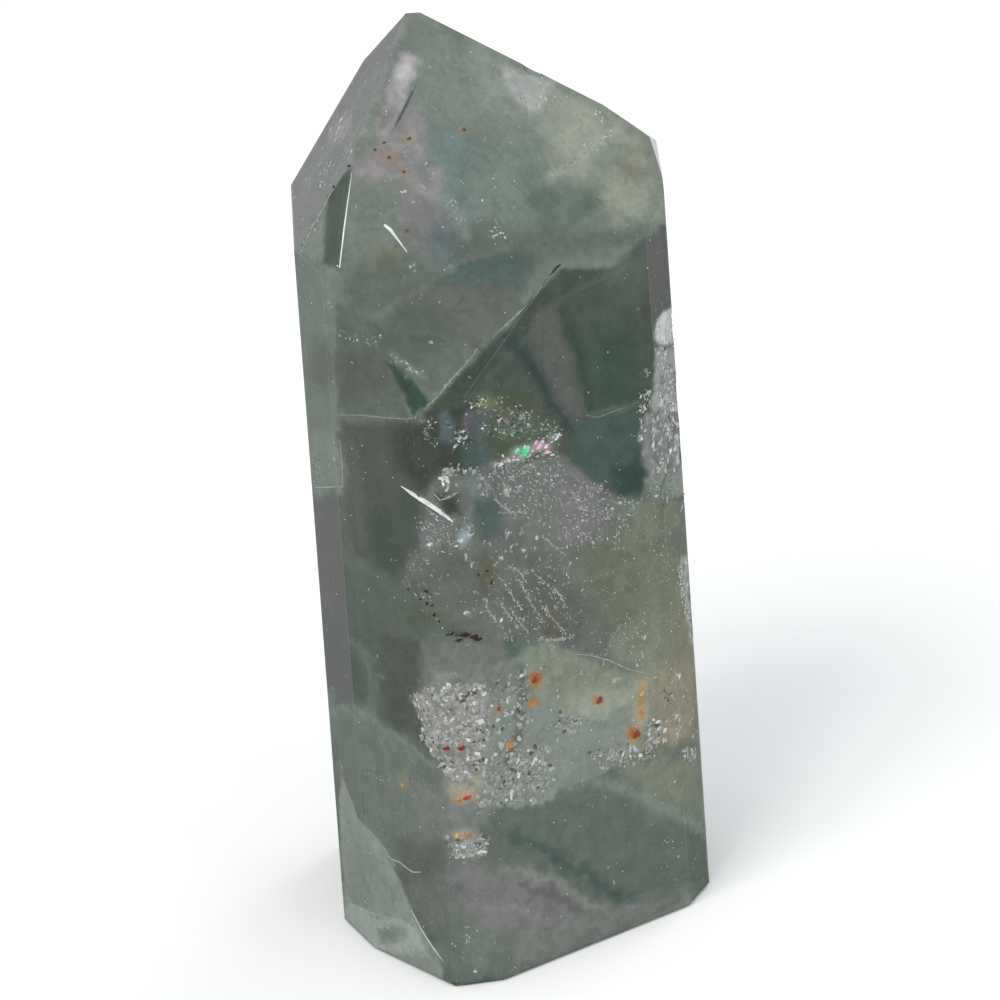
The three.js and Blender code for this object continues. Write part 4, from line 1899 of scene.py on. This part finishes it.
    @staticmethod
    def _draw(tree: Tree, seed: int) -> Wire:
        """A random number between -1 and 1 for each chip."""
        ends = {2: -1.0, 3: 1.0, "Seed": seed}
        return tree.node("FunctionNodeRandomValue", {"data_type": "FLOAT"}, ends, 1)


BODY_FRONT = ((300, 250), (345, 262), (414, 419), (560, 264), (668, 232), (708, 884), (455, 980), (350, 925))
CROWN_FRONT = ((292, 190), (330, 118), (408, 14), (440, 20), (655, 150), (664, 226), (560, 262), (414, 415),
               (345, 262))
WHOLE_SIDE = ((280, 40), (720, 40), (720, 960), (280, 960))
# Where the sparkles lie: pale flakes of tiny inclusions, whose brightness paints the glints of tiny
# cleavages.
SPARKLE_PLACES = (
    Place(BODY_FRONT, 0.05, 4), Place(CROWN_FRONT, 0.06, 4), Place(VEIL, 0.4, 12), Place(GRAINS, 0.4, 10),
    Place(((424, 790), (520, 800), (700, 745), (708, 880), (500, 970), (440, 940)), 0.16, 16),
    Place(((470, 180), (520, 180), (520, 250), (440, 236)), 0.3, 12),
    Place(((340, 130), (380, 50), (412, 20), (400, 120), (350, 160)), 0.4, 8),
    Place(((346, 780), (420, 780), (440, 950), (352, 920)), 0.2, 12),
    *(Place(WHOLE_SIDE, 0.1, 4, quarter * math.pi / 2) for quarter in (1, 2, 3)),
)
# Where the veil glitters in short, slanting dashes: pale chips whose brightness paints its glints.
DASH_PLACES = (
    Place(((479, 466), (562, 462), (560, 512), (500, 512)), 0.9, 8),
    Place(((556, 484), (600, 486), (602, 548), (566, 552)), 1, 8),
    Place(((600, 500), (632, 502), (628, 548), (604, 545)), 0.8, 6),
    Place(((480, 566), (560, 572), (586, 636), (500, 636)), 0.3, 8),
    Place(((418, 512), (454, 516), (456, 552), (424, 552)), 1, 6),
    Place(((404, 584), (430, 560), (444, 600), (424, 606)), 0.4, 6),
    Place(((600, 655), (610, 630), (645, 610), (650, 668)), 0.5, 8),
)


@dataclass
class Sparkles:
    """Pinpoint flakes all over the front, more of them low down and in the veil; their pale tones paint the
    glints of tiny cleavages.
    """

    fine: Chips = Chips(
        crowd=5.0, small=0.03, large=0.14, thick=0.03, lean=0.3, seed=3,
        tones=((0.0, (150, 158, 152)), (0.4, (170, 178, 172)), (0.75, (214, 219, 214)),
               (0.93, (236, 238, 236))),
    )
    dash_slope: tuple[float, float] = (0.6, -0.5)

    def build(self, crystal: Crystal) -> list[Piece]:
        """Makes the pinpoints and the short dashes.

        Args:
            crystal: The stone that they lie on.

        Returns:
            Both pieces.
        """
        pinpoints = self.fine.build("sparkles", crystal, SPARKLE_PLACES)
        dashes = Chips(
            crowd=6.5, small=0.05, large=0.11, long=4.5, thick=0.03, lean=0.15, spread=0.6, seed=5,
            tones=((0.0, (140, 148, 142)), (0.4, (172, 178, 172)), (0.85, (210, 214, 210))),
            heading=tuple(crystal.viewpoint.slope(*self.dash_slope)),
        )
        return [pinpoints, dashes.build("veil_dashes", crystal, DASH_PLACES)]


# The sugary patches of the front, then one on each hidden side.
GRAIN_PLACES = (
    Place(((414, 698), (435, 686), (471, 683), (487, 690), (489, 736), (484, 752), (470, 784), (452, 786),
           (441, 760), (429, 746), (420, 730), (424, 714)), 1, 4),
    Place(((430, 700), (466, 694), (474, 720), (440, 728)), 0.45, 6),
    Place(((487, 752), (520, 750), (546, 744), (552, 776), (536, 800), (478, 808)), 0.45, 6),
    Place(((490, 690), (520, 670), (528, 720), (500, 748)), 0.3, 6),
    Place(((591, 752), (641, 744), (650, 722), (664, 724), (650, 760), (600, 766)), 0.7, 5),
    Place(((555, 714), (579, 714), (580, 732), (558, 732)), 0.8, 4),
    Place(((446, 838), (487, 836), (484, 856), (452, 858)), 1, 3),
    Place(((683, 748), (696, 748), (695, 760), (684, 760)), 1, 2),
    Place(((452, 466), (444, 472), (441, 486), (447, 486), (456, 474), (478, 470)), 0.8, 2),
    Place(((510, 600), (570, 570), (630, 610), (610, 690), (550, 720), (520, 680)), 0.45, 20, math.pi / 2),
    Place(((420, 540), (500, 520), (580, 560), (560, 620), (480, 640), (440, 610)), 0.45, 20, math.pi),
    Place(((380, 520), (430, 500), (450, 580), (410, 620), (384, 580)), 0.45, 20, math.pi * 1.5),
)


@dataclass
class Grains:
    """Sugary patches: angular pale grains with dark gaps between them."""

    grains: Chips = Chips(
        crowd=44.0, small=0.08, large=0.46, gap=0.1, long=1.7, thick=0.05, lean=0.2, seed=7,
        tones=((0.0, GREY(86)), (0.05, GREY(132)), (0.22, WARM(146)), (0.5, GREY(156)), (0.76, GREY(174)),
               (0.92, GREY(212))),
    )

    def build(self, crystal: Crystal) -> list[Piece]:
        """Makes the grains of the front and of the hidden sides."""
        return [self.grains.build("sugar_grains", crystal, GRAIN_PLACES)]


GLINT_GREEN, GLINT_PINK, GLINT_VIOLET, GLINT_GOLD = (96, 214, 150), (232, 176, 206), (216, 214, 238), (178, 160, 92)
# Glints where the inner crack splits light, as painted reflections: middle, half-widths, turn in degrees and
# look.
GLINTS = (
    (522, 452, 7.5, 5, -12, GLINT_GREEN), (516, 450, 4, 2.6, 10, (150, 232, 176)),
    (529, 455, 3.6, 2.2, 20, (120, 220, 170)), (524, 447, 3.4, 1.8, -10, (186, 240, 206)),
    (545, 446, 4.6, 2.4, 10, (240, 214, 228)), (535, 443, 3.6, 2, -30, (238, 190, 214)),
    (551, 455, 4.4, 1.6, -10, (232, 196, 214)), (536, 456, 3.4, 1.6, 10, (214, 160, 190)),
    (527, 448, 3, 2.4, -30, (160, 236, 200)), (538, 446, 5, 3, -25, GLINT_PINK), (546, 452, 6, 2.2, 6, GLINT_PINK),
    (541, 442, 3.4, 1.8, -20, (240, 210, 226)), (532, 451, 2.6, 1.8, 0, (214, 190, 214)),
    (556, 438, 4.6, 1.8, -35, GLINT_VIOLET), (551, 442, 2.6, 1.4, -20, (196, 190, 214)),
    (559, 434, 2.4, 1.2, -50, (226, 232, 240)), (499, 465, 5, 1.8, -16, (228, 206, 222)),
    (508, 461, 4.6, 1.3, -14, (214, 194, 210)), (517, 460, 4, 1.2, -16, (226, 226, 222)),
    (527, 457, 3.4, 0.9, -12, (190, 196, 190)), (471, 407, 2.6, 2.2, 20, (196, 206, 190)),
    (479, 405, 2, 2.2, 0, (186, 196, 130)), (482, 399, 2, 1.5, -20, (204, 214, 180)),
    (486, 403, 3.4, 4.6, 10, (124, 130, 74)), (494, 401, 2.6, 3, 0, (112, 118, 70)),
    (511, 413, 3, 2, -30, GLINT_GOLD), (507, 418, 3.2, 1.2, 0, (172, 92, 74)),
    (500, 419, 2.6, 1.2, -20, (206, 172, 186)), (521, 418, 2, 1.8, 0, (176, 190, 150)),
    (526, 412, 2.2, 1.4, 40, (166, 190, 160)), (513, 433, 3.8, 0.9, 0, (120, 184, 140)),
    (526, 432, 2.8, 1, -20, (96, 170, 126)), (469, 421, 2.4, 3.6, 0, (104, 84, 118)),
    (466, 414, 1.6, 1.8, 0, (176, 172, 190)), (463, 431, 1.8, 2.2, 30, (186, 198, 204)),
    (460, 438, 3, 1.6, -40, (178, 182, 190)), (455, 446, 2.4, 1.6, -30, (196, 190, 208)),
    (466, 437, 1.2, 1.8, 0, (150, 200, 200)), (447, 421, 2.2, 3.8, 10, (92, 116, 124)),
    (424, 421, 1.4, 1, 0, (170, 120, 112)), (430, 425, 1.2, 1.2, 0, (190, 180, 180)),
    (427, 435, 2.4, 2, 0, (112, 132, 122)), (437, 443, 0.9, 2.6, 0, (160, 170, 168)),
    (443, 483, 1.6, 3.4, -14, (236, 240, 240)), (460, 540, 4.6, 3.4, 20, (176, 200, 206)),
    (456, 546, 2.2, 1.4, 0, (220, 226, 226)),
)
FLECK_PLACES = (
    Place(((468, 402), (490, 396), (512, 406), (534, 410), (552, 424), (561, 432), (552, 442), (520, 438),
           (494, 440), (478, 424)), 0.8, 5),
    Place(((448, 428), (470, 426), (468, 446), (450, 452)), 0.8, 4),
    Place(((418, 416), (434, 416), (436, 444), (422, 440)), 0.35, 5),
    Place(((492, 452), (556, 444), (560, 458), (500, 470)), 0.5, 5),
)
# The small flecks' tones: dark and muted ones of the mineral, and pale or tinted ones that are painted
# glints of the crack.
FLECK_TONES = (
    (0.0, (96, 110, 96)), (0.2, (122, 130, 104)), (0.38, (132, 120, 112)), (0.5, (150, 136, 146)),
    (0.6, (60, 66, 62)), (0.72, (128, 146, 138)), (0.84, (166, 174, 164)), (0.94, (210, 214, 210)),
)


@dataclass
class RainbowFracture(HandPlaced):
    """An inner crack that splits light: green, pink and violet glints, painted into its shards' colours,
    over an olive ground.
    """

    name: str = "rainbow_glints"
    fleck_slope: tuple[float, float] = (0.8, -0.4)
    least_corners: int = 5
    finish: InclusionFinish = InclusionFinish(roughness=0.1, uneven=0.18, grain=4000.0)

    def lay(self, bits: Inclusions) -> None:
        """Adds the bright glints, each with five to seven corners."""
        for x, *more in GLINTS:
            bits.shard(x, *more, corners=self.least_corners + x % 3)

    def build(self, crystal: Crystal) -> list[Piece]:
        """Makes the bright glints one by one and strews the small ones.

        Args:
            crystal: The stone that they lie on.

        Returns:
            Both pieces.
        """
        glints = super().build(crystal)
        flecks = Chips(
            crowd=16.0, small=0.06, large=0.22, gap=0.1, long=2.2, thick=0.03, lean=0.2, spread=0.9, seed=11,
            tones=FLECK_TONES, heading=tuple(crystal.viewpoint.slope(*self.fleck_slope)),
        )
        return [*glints, flecks.build("rainbow_flecks", crystal, FLECK_PLACES)]


RIB, RIM, STAIN = (192, 198, 194), (156, 164, 158), (62, 54, 44)
# Ribs where the veil broke like glass: start, bend, end and width.
RIBS = (
    ((508, 567), (518, 570), (524, 578), 1.8), ((517, 579), (523, 588), (531, 600), 1.4),
    ((486, 597), (488, 611), (503, 629), 1.8), ((497, 597), (506, 612), (518, 628), 1.4),
    ((505, 584), (512, 596), (522, 610), 1.2), ((526, 596), (534, 608), (542, 620), 1.2),
    ((542, 606), (554, 620), (566, 634), 1.8), ((534, 574), (546, 583), (556, 594), 1),
    ((553, 586), (560, 596), (566, 606), 1), ((510, 606), (516, 618), (528, 632), 1.2),
    ((541, 536), (552, 544), (565, 555), 1.2), ((537, 639), (556, 640), (574, 636), 1.6),
    ((548, 642), (553, 650), (560, 658), 1.4), ((474, 470), (484, 480), (488, 490), 2.4),
    ((494, 496), (500, 504), (508, 509), 1.6), ((514, 478), (524, 472), (536, 466), 1.4),
    ((518, 471), (526, 466), (534, 463), 1.2), ((498, 512), (512, 513), (526, 511), 1.2),
)
# Crumbly rims of the veil: width, how crowded the crumbs are, look and line.
RIMS = (
    (2, 0.35, RIM, (401, 584), (408, 572), (418, 557), (432, 545), (441, 528), (446, 520)),
    (2, 0.4, RIM, (446, 520), (440, 508), (434, 496), (450, 497), (459, 492)),
    (1.5, 0.25, GREY(128), (401, 588), (416, 602), (430, 616), (446, 622), (452, 644)),
    (3, 0.4, RIB, (500, 468), (530, 462), (556, 461), (570, 478), (598, 486), (614, 500), (640, 502)),
    (2.5, 0.4, RIB, (640, 502), (655, 487), (684, 489)),
    (3, 0.6, (196, 202, 190), (492, 470), (500, 478), (512, 492)),
    (5, 0.6, RIB, (500, 492), (530, 484), (548, 478)),
    (8, 0.7, RIB, (548, 470), (562, 480), (580, 496), (590, 520)),
    (6, 0.6, RIB, (576, 520), (584, 530), (580, 546)),
    (7, 0.8, (178, 186, 170), (604, 506), (612, 520), (626, 530)),
    (5, 0.5, (190, 198, 196), (536, 560), (552, 566), (550, 586)),
    (4, 0.5, (158, 164, 156), (498, 636), (526, 640), (552, 646)),
    (1.5, 0.6, RIB, (538, 638), (560, 640), (576, 634)),
    (6, 0.5, (170, 178, 176), (420, 520), (436, 540), (446, 556)),
    (2, 0.4, RIM, (420, 498), (430, 512), (428, 528)),
    (2, 0.4, RIM, (606, 660), (607, 645), (614, 631), (626, 621), (641, 615)),
    (10, 0.8, (150, 156, 140), (612, 650), (640, 640), (664, 650)),
    (16, 0.35, (146, 152, 138), (640, 520), (656, 560), (670, 600)),
)
# Its clean rims: line, widths and look.
RIM_SLIVERS = (
    (((443, 486), (442, 478), (447, 472), (456, 470)), (1, 3, 2.4, 1), (206, 212, 210)),
    (((434, 494), (440, 500), (450, 497), (458, 492)), (1, 1.6, 1.6, 1), RIM),
    (((574, 654), (590, 655), (608, 660), (628, 669), (654, 675)), (0.6, 1, 1.2, 1, 0.6), RIM),
)
# Dark stains along its lower rim: middle, half-widths and turn in degrees.
STAINS = (
    (409, 589, 2, 1.6, 0), (421, 599, 2.2, 1.8, 0), (426, 591, 3, 1.6, 20), (430, 594, 2.2, 1, 40),
    (432, 605, 2, 1.6, 0), (434, 614, 2.4, 3, -20), (439, 621, 1.4, 2, -30), (447, 635, 2.6, 1, 0),
    (456, 635, 2, 1, 0), (463, 634, 8, 3, 8), (473, 636, 6, 3.8, 24), (478, 639, 4.6, 2.6, -4),
    (451, 633, 4, 2.4, -20), (458, 640, 4.6, 2, 0), (427, 603, 1.8, 3, 0), (491, 582, 2.4, 2.8, 0),
    (486, 571, 4.6, 1.4, 0), (478, 574, 3, 1.6, 60),
)


@dataclass
class VeilRibs(HandPlaced):
    """Curved ribs where the veil across the middle broke like glass, and its pale rims."""

    name: str = "veil_ribs"
    rib_end: float = 0.3
    rib_middle: float = 0.8
    rib_crumbs: float = 1.4
    rib_crowd: float = 1.0
    crumb: float = 1.1
    first_seed: int = 60
    finish: InclusionFinish = InclusionFinish(roughness=0.2, uneven=0.25, grain=3000.0)

    def lay(self, bits: Inclusions) -> None:
        """Adds the ribs, the rims and the stains.

        Args:
            bits: The piece that they go to.
        """
        for *line, width in RIBS:
            bits.sliver(line, (self.rib_end, width * self.rib_middle, self.rib_end), GREY(152))
            bits.beads(line, width * self.rib_crumbs, RIB, self.rib_crowd, self.crumb, seed=line[0][0])
        for seed, (width, crowd, look, *line) in enumerate(RIMS, self.first_seed):
            bits.beads(line, width, look, crowd, seed=seed)
        for line, widths, look in RIM_SLIVERS:
            bits.sliver(line, widths, look)
        for stain in STAINS:
            bits.shard(*stain, STAIN)


BRIGHT, MILKY = (214, 218, 214), (178, 184, 178)
# Crumbled strokes: width, how crowded the flakes are, look and line.
STROKES = (
    # the left facet of the tip
    (3, 0.7, (206, 208, 190), (381, 56), (376, 62)), (2, 0.6, (206, 206, 186), (364, 74), (362, 79)),
    (3, 0.7, (204, 206, 190), (378, 72), (374, 80)), (2, 0.4, MILKY, (397, 45), (399, 48)),
    (5, 0.7, MILKY, (333, 122), (330, 134), (334, 146)), (3, 0.4, MILKY, (362, 114), (360, 120)),
    (6, 0.45, MILKY, (346, 128), (342, 140), (352, 144)),
    (7, 1.6, BRIGHT, (330, 160), (324, 176), (318, 190)),
    # these two run along the crown's edge and add pale crumbs to its painted edge highlight
    (3, 0.6, (164, 170, 164), (356, 140), (346, 158), (336, 176)),
    (2.5, 0.7, (176, 182, 174), (334, 182), (322, 204), (308, 232), (299, 250)),
    (4, 0.5, (176, 182, 168), (300, 214), (296, 236)), (3, 0.3, MILKY, (318, 216), (312, 240)),
    # the upper part
    (5, 0.6, MILKY, (424, 164), (432, 176), (428, 182)), (4, 0.7, MILKY, (420, 182), (428, 192)),
    (3, 1, BRIGHT, (402, 193), (408, 190)), (3, 0.9, MILKY, (410, 202), (416, 200)),
    (8, 1, (176, 186, 184), (448, 198), (452, 210), (462, 224)), (3, 0.7, BRIGHT, (414, 262), (414, 272)),
    (9, 1.3, BRIGHT, (489, 230), (506, 237)), (4, 0.8, (212, 216, 206), (541, 76), (544, 92), (538, 108)),
    (8, 0.5, (176, 182, 174), (506, 72), (520, 84), (524, 104)),
    (4, 1, (206, 208, 188), (593, 114), (600, 118), (604, 124)),
    (4, 0.7, (182, 188, 178), (556, 174), (574, 162), (592, 148), (612, 132)),
    (3, 0.9, BRIGHT, (603, 137), (611, 133)), (3, 0.6, MILKY, (596, 202), (606, 198)),
    (4, 0.4, MILKY, (630, 186), (640, 190)),
    # below it, left of the shoulder
    (3.5, 0.6, (188, 194, 186), (334, 329), (352, 336), (379, 346)),
    (3, 0.7, BRIGHT, (328, 300), (332, 308)),
    (3, 0.7, (186, 192, 184), (389, 356), (402, 362), (412, 370), (423, 372)),
    (2, 0.4, MILKY, (352, 358), (352, 366)), (2, 0.7, MILKY, (426, 345), (432, 340)),
    (3, 0.5, MILKY, (372, 340), (382, 338)), (4, 0.6, (160, 166, 158), (301, 318), (318, 320)),
    (10, 0.5, (160, 166, 156), (306, 440), (316, 470), (322, 484)),
    # these two run along the shoulder and add pale crumbs to its painted edge highlight
    (2, 0.5, (152, 158, 148), (423, 412), (440, 394), (456, 376), (478, 350)),
    (1.5, 0.35, (144, 150, 140), (494, 336), (512, 320), (528, 302)),
    # dark corner by the split light, with pale, pink and green strokes that are painted glints of the crack
    (6, 0.7, (150, 132, 128), (416, 420), (430, 432)), (5, 0.6, (140, 152, 146), (424, 434), (436, 446)),
    (8, 1.8, (188, 190, 200), (455, 434), (466, 440)), (1.5, 2, BRIGHT, (588, 392), (588, 393)),
    (2, 0.3, MILKY, (594, 431), (600, 440)), (3, 1.6, (224, 230, 232), (552, 438), (560, 434)),
    (4, 1.8, (232, 204, 220), (536, 442), (552, 448)),
    (2.5, 1.3, (226, 216, 220), (494, 465), (510, 460), (524, 458)),
    (4, 1, (196, 204, 170), (470, 408), (478, 404), (486, 398)),
    (4, 1, (120, 216, 160), (516, 448), (526, 456)),
    (6, 1, (166, 168, 150), (508, 412), (522, 418), (534, 414)),
    (4, 0.9, (170, 176, 168), (540, 424), (552, 432), (558, 428)),
    # the lower part
    (5, 0.7, (168, 170, 150), (366, 770), (380, 778), (396, 786)),
    (4, 0.6, (158, 162, 150), (398, 784), (408, 792), (420, 800)),
    (8, 0.9, (168, 172, 170), (474, 812), (486, 806)), (4, 0.4, MILKY, (346, 804), (348, 830)),
    (2.5, 0.7, (186, 192, 186), (466, 926), (468, 946)), (1.5, 2, BRIGHT, (474, 969), (476, 972)),
    (2, 0.6, (160, 164, 156), (462, 861), (470, 866)), (10, 0.5, MILKY, (664, 838), (684, 846)),
    (1.5, 0.5, BRIGHT, (612, 878), (616, 884)), (2, 0.4, MILKY, (544, 914), (548, 918)),
    # the broken right edge
    (2.5, 1.8, BRIGHT, (660, 318), (656, 330), (660, 341)), (6, 1.4, BRIGHT, (664, 312), (672, 322)),
    (5, 2.2, (226, 228, 226), (658, 339), (674, 341)), (6, 1.6, (222, 224, 222), (664, 326), (672, 334)),
    (5, 1.6, BRIGHT, (660, 347), (665, 358)), (4, 1.2, MILKY, (644, 366), (648, 376)),
    (5, 2, BRIGHT, (648, 390), (644, 402), (642, 414)), (2, 0.8, BRIGHT, (640, 418), (642, 428)),
    (9, 1.6, (200, 205, 200), (666, 362), (664, 380), (658, 396)),
    (9, 2.4, (224, 227, 224), (672, 366), (670, 392), (674, 412)),
    (9, 2.8, (226, 229, 226), (660, 398), (676, 408)), (6, 2.8, BRIGHT, (676, 434), (680, 446)),
    (9, 1, (190, 195, 188), (658, 410), (668, 430), (672, 456)), (7, 0.8, MILKY, (654, 418), (664, 430)),
    (4, 0.7, MILKY, (636, 432), (640, 440)), (2, 0.9, MILKY, (654, 446), (653, 462)),
    (2.5, 1, BRIGHT, (661, 456), (660, 474)), (8, 0.9, (160, 166, 156), (666, 470), (674, 482)),
    (7, 0.9, (166, 172, 162), (648, 482), (664, 488), (684, 488)),
    (4, 1.8, BRIGHT, (680, 566), (683, 590), (688, 620)), (5, 3, BRIGHT, (688, 748), (690, 758)),
    (12, 0.5, (158, 164, 150), (660, 540), (676, 580)),
    (16, 0.9, (166, 168, 152), (652, 686), (676, 700), (690, 734)),
    (3, 0.8, (90, 78, 60), (664, 690), (672, 704)), (8, 0.6, MILKY, (636, 724), (660, 736)),
)


@dataclass
class BrightStrokes(HandPlaced):
    """Crumbled white places: along the tip's left facet, on the shoulder, where some add to the painted edge
    highlights, and down the right edge.
    """

    name: str = "bright_flakes"
    flake: float = 1.3
    first_seed: int = 200
    finish: InclusionFinish = InclusionFinish(roughness=0.2, uneven=0.15, grain=3500.0)

    def lay(self, bits: Inclusions) -> None:
        """Adds the flakes of every stroke."""
        for seed, (width, crowd, look, *line) in enumerate(STROKES, self.first_seed):
            bits.beads(line, width, look, crowd, self.flake, seed=seed)


def main() -> None:
    """Builds the camera, the studio, the stone and what lies in it, and reports each piece."""
    logging.basicConfig(level=logging.INFO, format="%(message)s")
    viewpoint = Viewpoint()
    viewpoint.build()
    Studio().build()
    crystal = Crystal(viewpoint)
    pieces = [crystal.build()]
    for group in (DeepClouds(), CracksAndEdgeGlints(), RustSpots(), VeilRibs(), RainbowFracture(), Grains(),
                  Sparkles(), BrightStrokes()):
        pieces += group.build(crystal)
    for piece in pieces:
        LOG.info("%s: %d faces", piece.name, len(piece.data.polygons))


if __name__ == "__main__":
    main()
